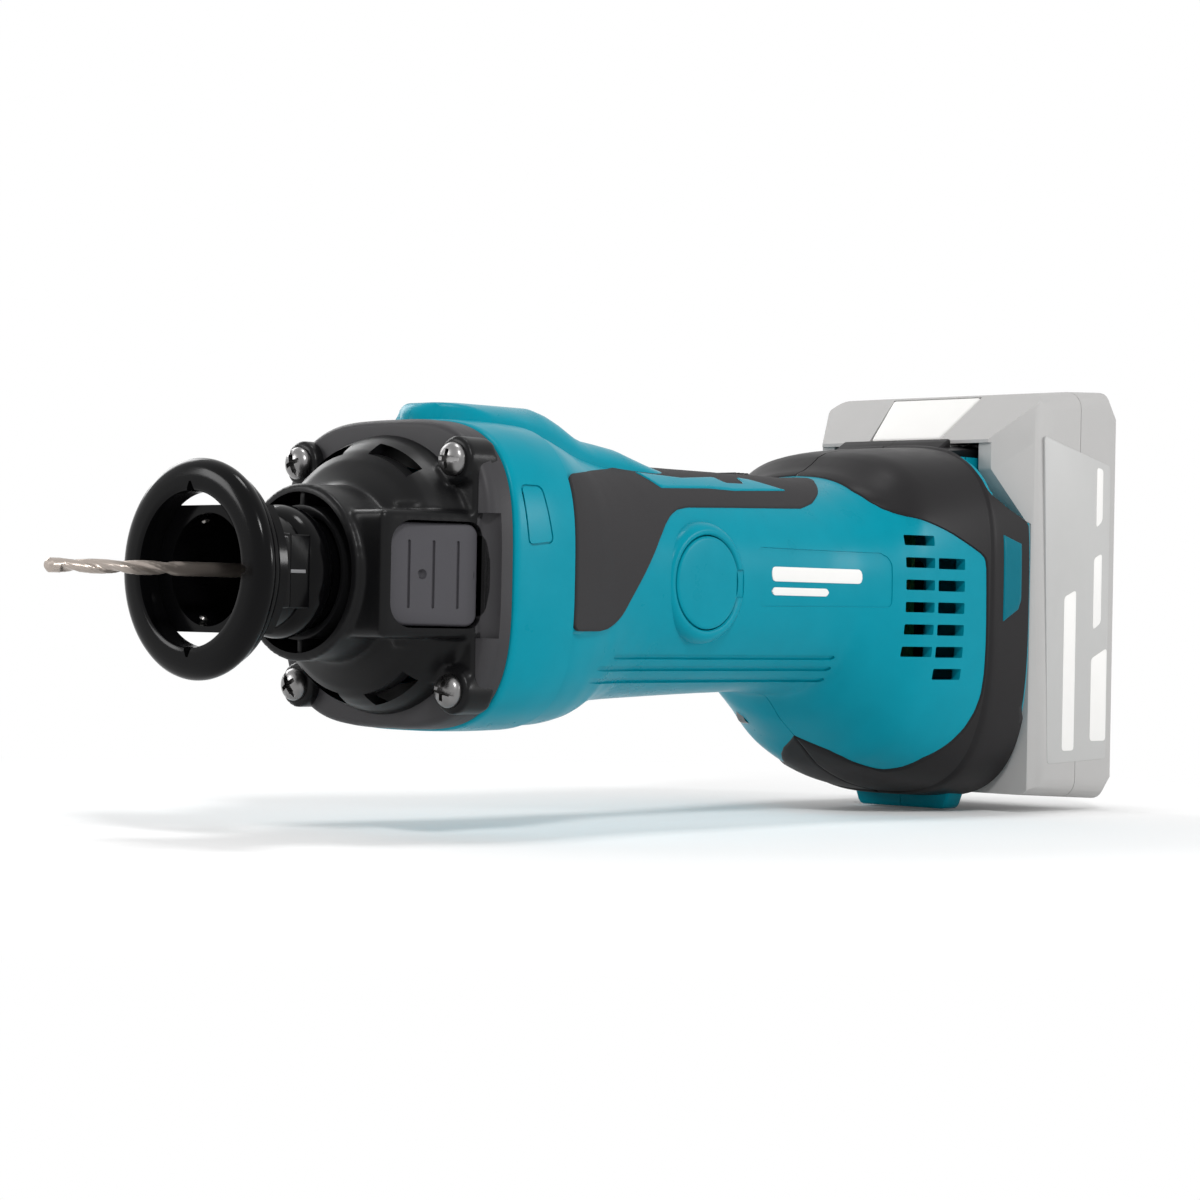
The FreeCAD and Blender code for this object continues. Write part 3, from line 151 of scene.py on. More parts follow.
def soften(shell: Mesh, width: float, segments: int = 3, least: float = 28.0,
           where: Optional[Callable[[Vector], bool]] = None) -> Mesh:
    """Bevel a shell's sharp edges.

    Args:
        shell: mesh to change.
        width: bevel width.
        segments: faces across the bevel.
        least: smallest angle between two faces, in degrees, that counts as sharp.
        where: test of an edge's middle, to pick some of the edges.

    Returns:
        The same mesh.
    """
    bmesh.ops.recalc_face_normals(shell, faces=shell.faces)
    sharp = [edge for edge in shell.edges if len(edge.link_faces) == 2
             and edge.calc_face_angle(0.0) > math.radians(least)
             and (where is None or where((edge.verts[0].co + edge.verts[1].co) / 2))]
    bmesh.ops.bevel(shell, geom=sharp, offset=width, offset_type="OFFSET", segments=segments,
                    profile=0.5, affect="EDGES", material=-1, clamp_overlap=True)
    return shell


def block(low: Sequence[float], high: Sequence[float], radius: float = 0.0,
          along: Optional[Way] = None, segments: int = 5) -> Mesh:
    """Box between two corners.

    Args:
        low: lowest corner.
        high: highest corner.
        radius: rounding of its edges.
        along: round only the edges along this axis.
        segments: faces across each rounding.

    Returns:
        A closed shell.
    """
    shell = bmesh.new()
    bmesh.ops.create_cube(shell, size=1.0)
    low, high = Vector(low), Vector(high)
    bmesh.ops.scale(shell, vec=high - low, verts=shell.verts)
    bmesh.ops.translate(shell, vec=(low + high) / 2, verts=shell.verts)
    if radius > 0:
        edges = [edge for edge in shell.edges if along is None or
                 abs((edge.verts[0].co - edge.verts[1].co).normalized()[along.value]) > ALONG]
        bmesh.ops.bevel(shell, geom=edges, offset=radius, offset_type="OFFSET",
                        segments=segments, profile=0.5, affect="EDGES", material=-1)
    return shell


def verts_of(geometry: Sequence[object]) -> list[bmesh.types.BMVert]:
    """Pick the vertices out of what an operator returns."""
    return [item for item in geometry if isinstance(item, bmesh.types.BMVert)]


def prism(outline: Sequence[Point], across: Way, low: float, high: float) -> Mesh:
    """Extrude an outline along one axis.

    Args:
        outline: points in the plane of the other two axes, in their order.
        across: axis of the extrusion.
        low: where it starts on that axis.
        high: where it ends.

    Returns:
        A closed shell.
    """
    shell = bmesh.new()
    corners = []
    for first, second in outline:
        spot = [first, second]
        spot.insert(across.value, low)
        corners.append(shell.verts.new(spot))
    face = shell.faces.new(corners)
    grown = bmesh.ops.extrude_face_region(shell, geom=[face])["geom"]
    step = Vector((0, 0, 0))
    step[across.value] = high - low
    bmesh.ops.translate(shell, vec=step, verts=verts_of(grown))
    bmesh.ops.recalc_face_normals(shell, faces=shell.faces)
    return shell


def outward(shell: Mesh, side: Side, x: float, z: float = 0.0) -> Mesh:
    """Stand a turned piece on its side: its +X becomes the outward direction at (x, z)."""
    turn = Matrix.Rotation(math.radians(90 * side.value), 4, "Z")
    bmesh.ops.transform(shell, matrix=Matrix.Translation((x, 0, z)) @ turn, verts=shell.verts)
    return shell


def turned(shell: Mesh, degrees: float, axis: str = "X") -> Mesh:
    """Turn a shell about one of the frame's axes."""
    bmesh.ops.transform(shell, matrix=Matrix.Rotation(math.radians(degrees), 4, axis),
                        verts=shell.verts)
    return shell


def posts_rounded(shell: Mesh, front: float, rear: float) -> Mesh:
    """Round the edges of a shell that run across the tool.

    Args:
        shell: mesh to change.
        front: rounding of the edges ahead of the lock's middle.
        rear: rounding of the edges behind it.

    Returns:
        The same mesh.
    """
    for ahead, radius in ((True, front), (False, rear)):
        edges = [edge for edge in shell.edges
                 if abs((edge.verts[0].co - edge.verts[1].co).normalized().y) > ALONG
                 and (edge.verts[0].co.x < LOCK_MIDDLE) == ahead]
        bmesh.ops.bevel(shell, geom=edges, offset=radius, offset_type="OFFSET", segments=8,
                        profile=0.5, affect="EDGES", material=-1)
    return shell


def placed(shell: Mesh, name: str) -> bpy.types.Object:
    """Make an object of a shell, in metres, at the frame's origin."""
    bmesh.ops.remove_doubles(shell, verts=shell.verts, dist=0.0008)
    bmesh.ops.recalc_face_normals(shell, faces=shell.faces)
    bmesh.ops.scale(shell, vec=(MM, MM, MM), verts=shell.verts)
    mesh = bpy.data.meshes.new(name)
    shell.to_mesh(mesh)
    shell.free()
    thing = bpy.data.objects.new(name, mesh)
    bpy.context.scene.collection.objects.link(thing)
    return thing


def baked(thing: bpy.types.Object) -> bpy.types.Object:
    """Swap an object's mesh for what its modifiers make of it."""
    ready = thing.evaluated_get(bpy.context.evaluated_depsgraph_get())
    mesh, old = bpy.data.meshes.new_from_object(ready), thing.data
    thing.modifiers.clear()
    thing.data = mesh
    bpy.data.meshes.remove(old)
    return thing


def carved(thing: bpy.types.Object, tool: Mesh, operation: str = "DIFFERENCE",
           crossed: bool = False) -> bpy.types.Object:
    """Cut a shell out of an object, or join it on.

    Args:
        thing: object to change.
        tool: closed shell that cuts.
        operation: DIFFERENCE, UNION or INTERSECT.
        crossed: the shells in one operand run through each other.

    Returns:
        The object.
    """
    cutter = placed(tool, "cutter")
    step = thing.modifiers.new("carve", "BOOLEAN")
    step.object, step.operation, step.solver, step.use_self = cutter, operation, "EXACT", crossed
    baked(thing)
    bpy.data.objects.remove(cutter)
    return thing


def welded(thing: bpy.types.Object, extra: bpy.types.Object) -> bpy.types.Object:
    """Move another object's mesh into an object and remove the other one."""
    whole = bmesh.new()
    whole.from_mesh(thing.data)
    whole.from_mesh(extra.data)
    whole.to_mesh(thing.data)
    whole.free()
    bpy.data.objects.remove(extra)
    return thing


def gathered(thing: bpy.types.Object, *shells: Mesh) -> bpy.types.Object:
    """Add closed shells, in millimetres, to an object's mesh as they are."""
    for shell in shells:
        welded(thing, placed(shell, "extra"))
    return thing


def smooth(rows: Sequence[Sequence[float]], column: int, x: float) -> float:
    """Read one column of a table at x, by a cubic through its rows that never overshoots.

    Args:
        rows: table rows, with x first and rising.
        column: column to read.
        x: where to read it.

    Returns:
        The value there.
    """
    x = min(max(x, rows[0][0]), rows[-1][0])
    spot = max(i for i in range(len(rows) - 1) if rows[i][0] <= x)

    def rise(i: int) -> float:
        """Slope of the span after row i."""
        return (rows[i + 1][column] - rows[i][column]) / (rows[i + 1][0] - rows[i][0])

    def slope(i: int) -> float:
        """Slope at row i, flat where the value turns round."""
        if i in (0, len(rows) - 1):
            return rise(min(i, len(rows) - 2))
        before, after = rise(i - 1), rise(i)
        return 2 * before * after / (before + after) if before * after > 0 else 0.0

    span = rows[spot + 1][0] - rows[spot][0]
    t = (x - rows[spot][0]) / span
    low, high = rows[spot][column], rows[spot + 1][column]
    return (low * (1 + 2 * t) * (1 - t) ** 2 + high * t * t * (3 - 2 * t)
            + span * t * (1 - t) * (slope(spot) * (1 - t) - slope(spot + 1) * t))


def straight(points: Sequence[Point], at: float) -> float:
    """Read a polyline of (place, value) points, in rising places, at one place."""
    if at <= points[0][0]:
        return points[0][1]
    for (a, low), (b, high) in zip(points, points[1:]):
        if at <= b:
            return low + (high - low) * (at - a) / (b - a)
    return points[-1][1]


def spread(first: float, last: float, pitch: float, dense: Sequence[float] = ()) -> list[float]:
    """List places from first to last at about one pitch, crowded at both ends.

    Args:
        first: first place.
        last: last place.
        pitch: usual distance between places.
        dense: distances from each end that also get a place.

    Returns:
        Rising places.
    """
    inner = max(dense, default=0.0)
    count = max(1, round((last - first - 2 * inner) / pitch))
    body = [first + inner + (last - first - 2 * inner) * i / count for i in range(count + 1)]
    ends = sorted(first + d for d in dense if 0 < d < inner), sorted(last - d for d in dense if 0 < d < inner)
    return ([first] if inner else []) + ends[0] + body + ends[1] + ([last] if inner else [])


# ---------------------------------------------------------------------------
# Finishes
# ---------------------------------------------------------------------------
def linear(colour: Sequence[int]) -> tuple[float, float, float, float]:
    """Turn a screen colour, 0 to 255, into the shader's linear one."""
    parts = [c / 255 for c in colour]
    return (*[p / 12.92 if p <= 0.04045 else ((p + 0.055) / 1.055) ** 2.4 for p in parts], 1.0)


class Group:
    """A shader node group under construction."""

    def __init__(self, name: str, inputs: dict[str, float], outputs: Sequence[str]) -> None:
        """Make the group with named float or colour sockets."""
        self.tree = bpy.data.node_groups.new(name, "ShaderNodeTree")
        for label, value in inputs.items():
            kind = "NodeSocketColor" if label.startswith("Colour") else "NodeSocketFloat"
            socket = self.tree.interface.new_socket(label, in_out="INPUT", socket_type=kind)
            if kind == "NodeSocketFloat":
                socket.default_value = value
        for label in outputs:
            kind = "NodeSocketColor" if label.startswith("Colour") else "NodeSocketFloat"
            self.tree.interface.new_socket(label, in_out="OUTPUT", socket_type=kind)
        self.source = self.tree.nodes.new("NodeGroupInput")
        self.sink = self.tree.nodes.new("NodeGroupOutput")
        self.place = self.tree.nodes.new("ShaderNodeTexCoord").outputs["Object"]

    def noise(self, scale: object, detail: float, vector: object = None) -> bpy.types.NodeSocket:
        """Add a noise texture.

        Args:
            scale: a number, or the socket that gives it.
            detail: octaves.
            vector: socket with the place, or None for the object's own.

        Returns:
            The texture's value.
        """
        node = self.tree.nodes.new("ShaderNodeTexNoise")
        node.inputs["Detail"].default_value = detail
        self.feed(node.inputs["Scale"], scale)
        self.tree.links.new(vector or self.place, node.inputs["Vector"])
        return node.outputs["Fac"]

    def sum(self, operation: str, first: object, second: object = 0.0,
            third: object = 0.0) -> bpy.types.NodeSocket:
        """Add a Math node and return its value."""
        node = self.tree.nodes.new("ShaderNodeMath")
        node.operation = operation
        for socket, value in zip(node.inputs, (first, second, third)):
            self.feed(socket, value)
        return node.outputs[0]

    def ramp(self, value: object, low: object, high: object, first: object,
             last: object) -> bpy.types.NodeSocket:
        """Add a Map Range node from low..high to first..last and return its value."""
        node = self.tree.nodes.new("ShaderNodeMapRange")
        for socket, entry in zip(node.inputs, (value, low, high, first, last)):
            self.feed(socket, entry)
        return node.outputs[0]

    def blend(self, share: object, first: object, second: object,
              mode: str = "MIX") -> bpy.types.NodeSocket:
        """Add a colour Mix node and return its colour."""
        node = self.tree.nodes.new("ShaderNodeMix")
        node.data_type, node.blend_type = "RGBA", mode
        self.feed(node.inputs[0], share)
        self.feed(node.inputs[6], first)
        self.feed(node.inputs[7], second)
        return node.outputs[2]

    def feed(self, socket: bpy.types.NodeSocket, value: object) -> None:
        """Link a socket into an input, or set the input's own number."""
        if isinstance(value, bpy.types.NodeSocket):
            self.tree.links.new(value, socket)
        elif value is not None:
            socket.default_value = value


@lru_cache(maxsize=None)
def moulded_grain() -> bpy.types.NodeTree:
    """Build the fine texture of a moulded or ground surface, with its flecks."""
    group = Group("moulded_grain", {"Colour": 0, "Colour of flecks": 0, "Scale": 3000,
                                    "Stretch": 1.0,
                                    "Flecks": 0.0}, ("Colour", "Height"))
    get = group.source.outputs
    squash = group.tree.nodes.new("ShaderNodeCombineXYZ")
    group.feed(squash.inputs[0], get["Stretch"])
    squash.inputs[1].default_value = squash.inputs[2].default_value = 1.0
    scaled = group.tree.nodes.new("ShaderNodeVectorMath")
    scaled.operation = "MULTIPLY"
    group.feed(scaled.inputs[0], group.place)
    group.feed(scaled.inputs[1], squash.outputs[0])
    fine = group.noise(get["Scale"], 3.0, scaled.outputs[0])
    spots = group.noise(group.sum("MULTIPLY", get["Scale"], 0.6), 1.0, scaled.outputs[0])
    edge = group.sum("SUBTRACT", 0.72, group.sum("MULTIPLY", get["Flecks"], 0.3))
    mask = group.ramp(spots, edge, group.sum("ADD", edge, 0.06), 0.0,
                      group.sum("MINIMUM", get["Flecks"], 1.0))
    colour = group.blend(mask, get["Colour"], get["Colour of flecks"])
    group.feed(group.sink.inputs["Colour"], colour)
    height = group.sum("ADD", fine, group.sum("MULTIPLY", mask, 0.5))
    group.feed(group.sink.inputs["Height"], height)
    return group.tree


@lru_cache(maxsize=None)
def handling() -> bpy.types.NodeTree:
    """Build the broad uneven gloss and tone that handling leaves."""
    group = Group("handling", {"Colour": 0, "Gloss": 0.4, "Spread": 0.1, "Tone": 0.06},
                  ("Colour", "Roughness"))
    get = group.source.outputs
    broad = group.noise(28.0, 4.0)
    smears = group.noise(190.0, 6.0)
    mixed = group.sum("MULTIPLY_ADD", smears, 0.45, group.sum("MULTIPLY", broad, 0.55))
    centred = group.ramp(mixed, 0.3, 0.7, -1.0, 1.0)
    group.feed(group.sink.inputs["Roughness"],
               group.sum("ADD", get["Gloss"], group.sum("MULTIPLY", centred, get["Spread"])))
    shade = group.sum("ADD", 1.0, group.sum("MULTIPLY", centred, get["Tone"]))
    grey = group.tree.nodes.new("ShaderNodeCombineColor")
    for channel in grey.inputs:
        group.feed(channel, shade)
    toned = group.blend(1.0, get["Colour"], grey.outputs[0], "MULTIPLY")
    group.feed(group.sink.inputs["Colour"], toned)
    return group.tree


@dataclass(frozen=True)
class Finish:
    """One surface finish: its colour, gloss and fine texture.

    Attributes:
        name: material name.
        colour: screen colour, 0 to 255.
        gloss: roughness of the surface.
        metal: 1 for bare metal.
        flecks: share of flecks in the surface.
        fleck_colour: colour of the flecks.
        grain: size of the fine texture, mm.
        depth: height of the fine texture, mm.
        stretch: below 1 draws the texture out along the spindle.
        spread: how far handling changes the gloss.
        tone: how far handling changes the tone.
        shine: specular level.
        coat: clear gloss coat.
    """

    name: str
    colour: tuple[int, int, int]
    gloss: float
    metal: float = 0.0
    flecks: float = 0.0
    fleck_colour: tuple[int, int, int] = (128, 128, 128)
    grain: float = 0.35
    depth: float = 0.012
    stretch: float = 1.0
    spread: float = 0.05
    tone: float = 0.05
    shine: float = 0.5
    coat: float = 0.0

    @lru_cache(maxsize=None)
    def material(self) -> bpy.types.Material:
        """Build the finish's material once."""
        made = bpy.data.materials.new(self.name)
        made.use_nodes = True
        nodes, links = made.node_tree.nodes, made.node_tree.links
        shader = next(n for n in nodes if n.type == "BSDF_PRINCIPLED")
        grain, worn = nodes.new("ShaderNodeGroup"), nodes.new("ShaderNodeGroup")
        grain.node_tree, worn.node_tree = moulded_grain(), handling()
        grain.inputs["Colour"].default_value = linear(self.colour)
        grain.inputs["Colour of flecks"].default_value = linear(self.fleck_colour)
        for label, value in (("Scale", 1000 / self.grain), ("Stretch", self.stretch),
                             ("Flecks", self.flecks)):
            grain.inputs[label].default_value = value
        for label, value in (("Gloss", self.gloss), ("Spread", self.spread), ("Tone", self.tone)):
            worn.inputs[label].default_value = value
        bump = nodes.new("ShaderNodeBump")
        bump.inputs["Strength"].default_value = 1.0
        bump.inputs["Distance"].default_value = self.depth * MM
        links.new(grain.outputs["Colour"], worn.inputs["Colour"])
        links.new(grain.outputs["Height"], bump.inputs["Height"])
        links.new(worn.outputs["Colour"], shader.inputs["Base Color"])
        links.new(worn.outputs["Roughness"], shader.inputs["Roughness"])
        links.new(bump.outputs["Normal"], shader.inputs["Normal"])
        shader.inputs["Metallic"].default_value = self.metal
        shader.inputs["Specular IOR Level"].default_value = self.shine
        shader.inputs["Coat Weight"].default_value = self.coat
        shader.inputs["Coat Roughness"].default_value = 0.08
        return made


TEAL = Finish("housing_teal", (0, 133, 152), 0.3, grain=0.6, depth=0.004, shine=0.07)
BADGE = Finish("badge_teal", (0, 100, 116), 0.38, grain=0.6, depth=0.005, shine=0.06)
NOSE = Finish("nose_black", (17, 17, 18), 0.32, grain=0.45, depth=0.01, spread=0.06, shine=0.13)
# The flange is the nose's black plastic with a satin finish. Its colour is lighter than the nose's black as
# painted light, standing in for the light that its face catches.
FLANGE_PAINTED_LIGHT = Finish("flange_black_painted_light", (52, 51, 53), 0.46, grain=0.4, depth=0.012, shine=0.2)
GRIP = Finish("grip_rubber", (54, 53, 54), 0.72, flecks=0.16, fleck_colour=(72, 71, 73), grain=0.3,
              depth=0.03, shine=0.08, tone=0.03)
BUMPER = Finish("bumper_rubber", (36, 35, 36), 0.4, grain=0.5, depth=0.008, shine=0.08, tone=0.03)
SHOE = Finish("shoe_gloss", (6, 6, 7), 0.15, grain=0.9, depth=0.001, spread=0.03, shine=0.1)
BUTTON = Finish("button_grey", (66, 65, 69), 0.5, grain=0.3, depth=0.014, shine=0.25, tone=0.03)
MARK = Finish("mark_grey", (120, 120, 122), 0.5, depth=0.01, shine=0.2)
STEEL = Finish("turned_steel", (150, 148, 146), 0.28, metal=1.0, grain=0.25, depth=0.006,
               stretch=6.0)
ZINC = Finish("zinc_screw", (126, 125, 125), 0.3, metal=1.0, grain=0.8, depth=0.01, spread=0.08)
BIT = Finish("tool_steel", (168, 158, 150), 0.3, metal=0.8, grain=0.2, depth=0.002, stretch=5.0,
             spread=0.05, tone=0.05)
COPPER = Finish("enamelled_copper", (196, 110, 66), 0.34, metal=1.0, grain=0.5, depth=0.05,
                stretch=0.3)
FERRITE = Finish("ferrite", (92, 90, 92), 0.7, flecks=0.4, fleck_colour=(120, 118, 120), grain=0.5,
                 depth=0.05)
CARBON = Finish("carbon", (40, 40, 42), 0.6, flecks=0.3, fleck_colour=(90, 80, 72), grain=0.3,
                depth=0.04)
BOARD = Finish("solder_mask", (22, 110, 66), 0.35, flecks=0.25, fleck_colour=(196, 170, 90),
               grain=1.4, depth=0.02)
PACK = Finish("battery_grey", (172, 171, 170), 0.5, grain=0.5, depth=0.01, shine=0.2, tone=0.02)
LABEL = Finish("label_grey", (178, 178, 177), 0.4, grain=0.8, depth=0.005, shine=0.2, tone=0.02)
WHITE = Finish("latch_white", (228, 227, 225), 0.45, grain=0.6, depth=0.005, shine=0.2, tone=0.012)
CELL = Finish("cell_wrap", (62, 132, 186), 0.35, grain=1.5, depth=0.01)
WIRE = Finish("wire_sleeve", (190, 40, 32), 0.45, grain=0.6, depth=0.01)

SLOT_FINISH = {
    "housing_teal": TEAL, "nose_black": NOSE, "grip_rubber": GRIP, "bumper_rubber": BUMPER,
    "shoe_gloss": SHOE, "button_grey": BUTTON, "mark_grey": MARK, "steel": STEEL,
    "screw_steel": ZINC, "bit_steel": BIT, "copper": COPPER, "magnet": FERRITE, "carbon": CARBON,
    "board_green": BOARD, "battery_grey": PACK, "latch_white": WHITE, "cell_wrap": CELL,
    "wire": WIRE,
}


def dressed(thing: bpy.types.Object, finish: Finish, body: str, slot: str, *nodes: str,
            sharp: float = 32.0) -> bpy.types.Object:
    """Give a finished piece its material, its body and the nodes that it stands for.

    Args:
        thing: the piece.
        finish: its finish.
        body: body it rides on.
        slot: material slot of the record; not used.
        nodes: frame nodes it replaces.
        sharp: angle in degrees above which an edge stays crisp.

    Returns:
        The piece.
    """
    mesh = thing.data
    mesh.polygons.foreach_set("use_smooth", [True] * len(mesh.polygons))
    mesh.set_sharp_from_angle(angle=math.radians(sharp))
    mesh.materials.clear()
    mesh.materials.append(finish.material())
    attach(thing, body)
    if nodes:
        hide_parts(*nodes)
    LOG.info("%s: %d faces on %s", thing.name, len(mesh.polygons), body)
    return thing


# ---------------------------------------------------------------------------
# Housing surface
# ---------------------------------------------------------------------------
@dataclass(frozen=True)
class Hull:
    """The housing's outside: rounded sections along the spindle axis.

    Attributes:
        sections: x, half width, top, bottom, and the squareness of top and bottom.
    """

    sections: tuple[tuple[float, ...], ...] = (
        (58.0, 35.3, 36.0, 35.3, 3.3, 3.3), (65.4, 36.4, 36.7, 36.3, 3.3, 3.3),
        (75, 36.6, 36.9, 36.5, 3.3, 3.3),
        (86, 35.9, 36.6, 36.4, 3.2, 3.2), (96, 34.0, 34.6, 36.2, 2.8, 2.9),
        (104, 32.0, 32.4, 35.0, 2.5, 2.6), (112, 30.9, 30.8, 32.0, 2.35, 2.4),
        (120, 30.3, 29.8, 30.0, 2.3, 2.35), (140, 29.8, 28.9, 29.0, 2.3, 2.3),
        (170, 29.8, 28.7, 28.0, 2.3, 2.3), (186, 30.2, 28.6, 27.7, 2.3, 2.35),
        (196, 31.2, 28.5, 28.6, 2.35, 2.4), (204, 32.8, 28.8, 35.5, 2.5, 2.4),
        (212, 34.6, 31.2, 41.5, 2.8, 2.5), (220, 36.0, 35.9, 47.6, 3.1, 2.7),
        (236, 37.0, 38.1, 53.2, 3.4, 3.0), (250, 37.3, 39.0, 55.3, 3.7, 3.3),
        (264.2, 37.4, 39.6, 56.0, 4.0, 3.5))

    @lru_cache(maxsize=None)
    def section(self, x: float) -> tuple[float, ...]:
        """Half width, top, bottom and the two squarenesses at x."""
        return tuple(smooth(self.sections, column, x) for column in range(1, 6))

    def radius(self, x: float, turn: float) -> float:
        """Distance from the axis to the surface at x, at an angle up from the side."""
        wide, top, bottom, square_top, square_bottom = self.section(round(x, 4))
        high, power = (top, square_top) if turn >= 0 else (bottom, square_bottom)
        return ((abs(math.cos(turn)) / wide) ** power + (abs(math.sin(turn)) / high) ** power) ** (-1 / power)

    def point(self, x: float, turn: float, lift: float, side: Side) -> Vector:
        """Point at a lift above the surface, kept clear of the centre seam."""
        reach = self.radius(x, turn) + lift
        return Vector((x, side.value * max(reach * math.cos(turn), SEAM), reach * math.sin(turn)))

    def turn_at(self, x: float, z: float) -> float:
        """Angle up from the side at which the surface reaches height z."""
        wide, top, bottom, square_top, square_bottom = self.section(round(x, 4))
        high, power = (top, square_top) if z >= 0 else (bottom, square_bottom)
        share = min(abs(z) / high, 1.0)
        return math.atan2(z, wide * (1 - share ** power) ** (1 / power))

    def skin(self, where: Callable[[int, int], tuple[float, float, float]], across: int,
             around: int,
             depth: float, side: Side, ring: bool = False) -> Mesh:
        """Lay a sheet of some thickness on the surface.

        Args:
            where: x, angle and lift of the sheet's outside at column i and row j.
            across: columns of faces.
            around: rows of faces.
            depth: thickness, inwards.
            side: side of the tool.
            ring: the last column meets the first.

        Returns:
            A closed shell.
        """
        shell = bmesh.new()
        bmesh.ops.create_grid(shell, x_segments=across, y_segments=around, size=0.5)
        layers = [shell.verts.layers.float.new(label) for label in ("x", "turn", "lift")]
        for vert in shell.verts:
            i, j = round((vert.co.x + 0.5) * across), round((vert.co.y + 0.5) * around)
            for layer, value in zip(layers, where(i % across if ring else i, j)):
                vert[layer] = value
            vert.co = self.point(*[vert[layer] for layer in layers], side)
        grown = bmesh.ops.extrude_face_region(shell, geom=shell.faces[:])["geom"]
        for vert in verts_of(grown):
            x, turn, lift = (vert[layer] for layer in layers)
            vert.co = self.point(x, turn, lift - depth, side)
        bmesh.ops.remove_doubles(shell, verts=shell.verts, dist=0.002)
        bmesh.ops.recalc_face_normals(shell, faces=shell.faces)
        return shell

    def panel(self, columns: Sequence[float], low: Callable[[float], float],
              high: Callable[[float], float],
              lift: float, depth: float, side: Side, rows: int = 16, roll: float = 0.6,
              flat: bool = False, seam: bool = False) -> Mesh:
        """Lay a panel whose lower and upper edges are given along the spindle.

        Args:
            columns: places along the spindle.
            low: angle of the lower edge at x.
            high: angle of the upper edge at x.
            lift: height above the surface.
            depth: thickness.
            side: side of the tool.
            rows: rows between the edges.
            roll: how far the rim is rolled down.
            flat: no rolled rim, for a cutter.
            seam: the upper edge is the centre seam, rolled only a little.

        Returns:
            A closed shell.
        """
        rim = () if flat else (0.0, 0.18, 0.5)
        drops = (1.0, 0.35, 0.0)
        count = rows + (2 * (len(rim) - 1) if rim else 0)
        ends = {0: 1.0, 1: 0.35, len(columns) - 1: 1.0, len(columns) - 2: 0.35}

        def where(i: int, j: int) -> tuple[float, float, float]:
            """x, angle and lift at a column and row."""
            x = columns[i]
            start, end = low(x), high(x)
            if not rim:
                return x, start + (end - start) * j / count, lift
            width = max((end - start) * self.radius(x, (start + end) / 2), 1e-6)
            near = min(j, count - j)
            if near < len(rim) - 1:
                share = min(rim[near] / width, 0.5)
                share, drop = (share if j < count / 2 else 1 - share), drops[near]
            else:
                inner = min(rim[-1] / width, 0.5)
                share, drop = inner + (1 - 2 * inner) * (j - len(rim) + 1) / rows, 0.0
            if seam and j > count / 2:
                drop *= 0.3
            return x, start + (end - start) * share, lift - roll * max(drop, ends.get(i, 0.0))

        return self.skin(where, len(columns) - 1, count, depth, side)

    def box_of(self, x: Point, z: Point, lift: float, depth: float, side: Side) -> Mesh:
        """Cutter that follows the surface between two places along and two heights."""
        columns = spread(x[0], x[1], 2.0)
        return self.panel(columns, lambda at: self.turn_at(at, z[0]),
                          lambda at: self.turn_at(at, z[1]),
                          lift, depth, side, rows=4, flat=True)

    def ribbon(self, path: Sequence[Point], width: float, lift: float, depth: float,
               side: Side) -> Mesh:
        """Closed band of some width along an (x, z) path on the side of the tool."""
        count = len(path)

        def where(i: int, j: int) -> tuple[float, float, float]:
            """Place across the band at a path point."""
            before, here, after = (Vector(path[(i + k) % count]) for k in (-1, 0, 1))
            along = (after - before).normalized()
            spot = here + Vector((-along.y, along.x)) * width * (j - 0.5)
            return spot.x, self.turn_at(spot.x, spot.y), lift

        return self.skin(where, count, 1, depth, side, ring=True)


HULL = Hull()


def rounded(points: Sequence[Point], radius: float, steps: int = 5) -> list[Point]:
    """Round the corners of a closed outline.

    Args:
        points: corners in order.
        radius: distance from each corner at which its rounding starts.
        steps: points in each rounding.

    Returns:
        The rounded outline.
    """
    made = []
    for i, corner in enumerate(points):
        here = Vector(corner)
        before, after = Vector(points[i - 1]), Vector(points[(i + 1) % len(points)])
        start = here + (before - here).normalized() * radius
        end = here + (after - here).normalized() * radius
        for step in range(steps + 1):
            t = step / steps
            spot = start * (1 - t) ** 2 + here * 2 * t * (1 - t) + end * t * t
            made.append((spot.x, spot.y))
    return made


def switch_well() -> Mesh:
    """Build the cutter for the well that the slide switch's knob runs in."""
    return block((169.3, -6.6, 27.3), (185.8, 6.6, 45), 1.5, Way.Z)


def rail_channel() -> Mesh:
    """Build the cutter for the channel that takes the battery's rail block."""
    return block((251.6, -RAIL_GAP, -42), (270, RAIL_GAP, 60), 1.0, Way.Z)


def drawn_in(x: float, first: float, last: float, radius: float) -> float:
    """How far an edge is drawn in near a panel's ends, in mm, to round its corners."""
    near = min(x - first, last - x)
    if near >= radius:
        return 0.0
    return radius - math.sqrt(max(radius ** 2 - (radius - near) ** 2, 0.0))


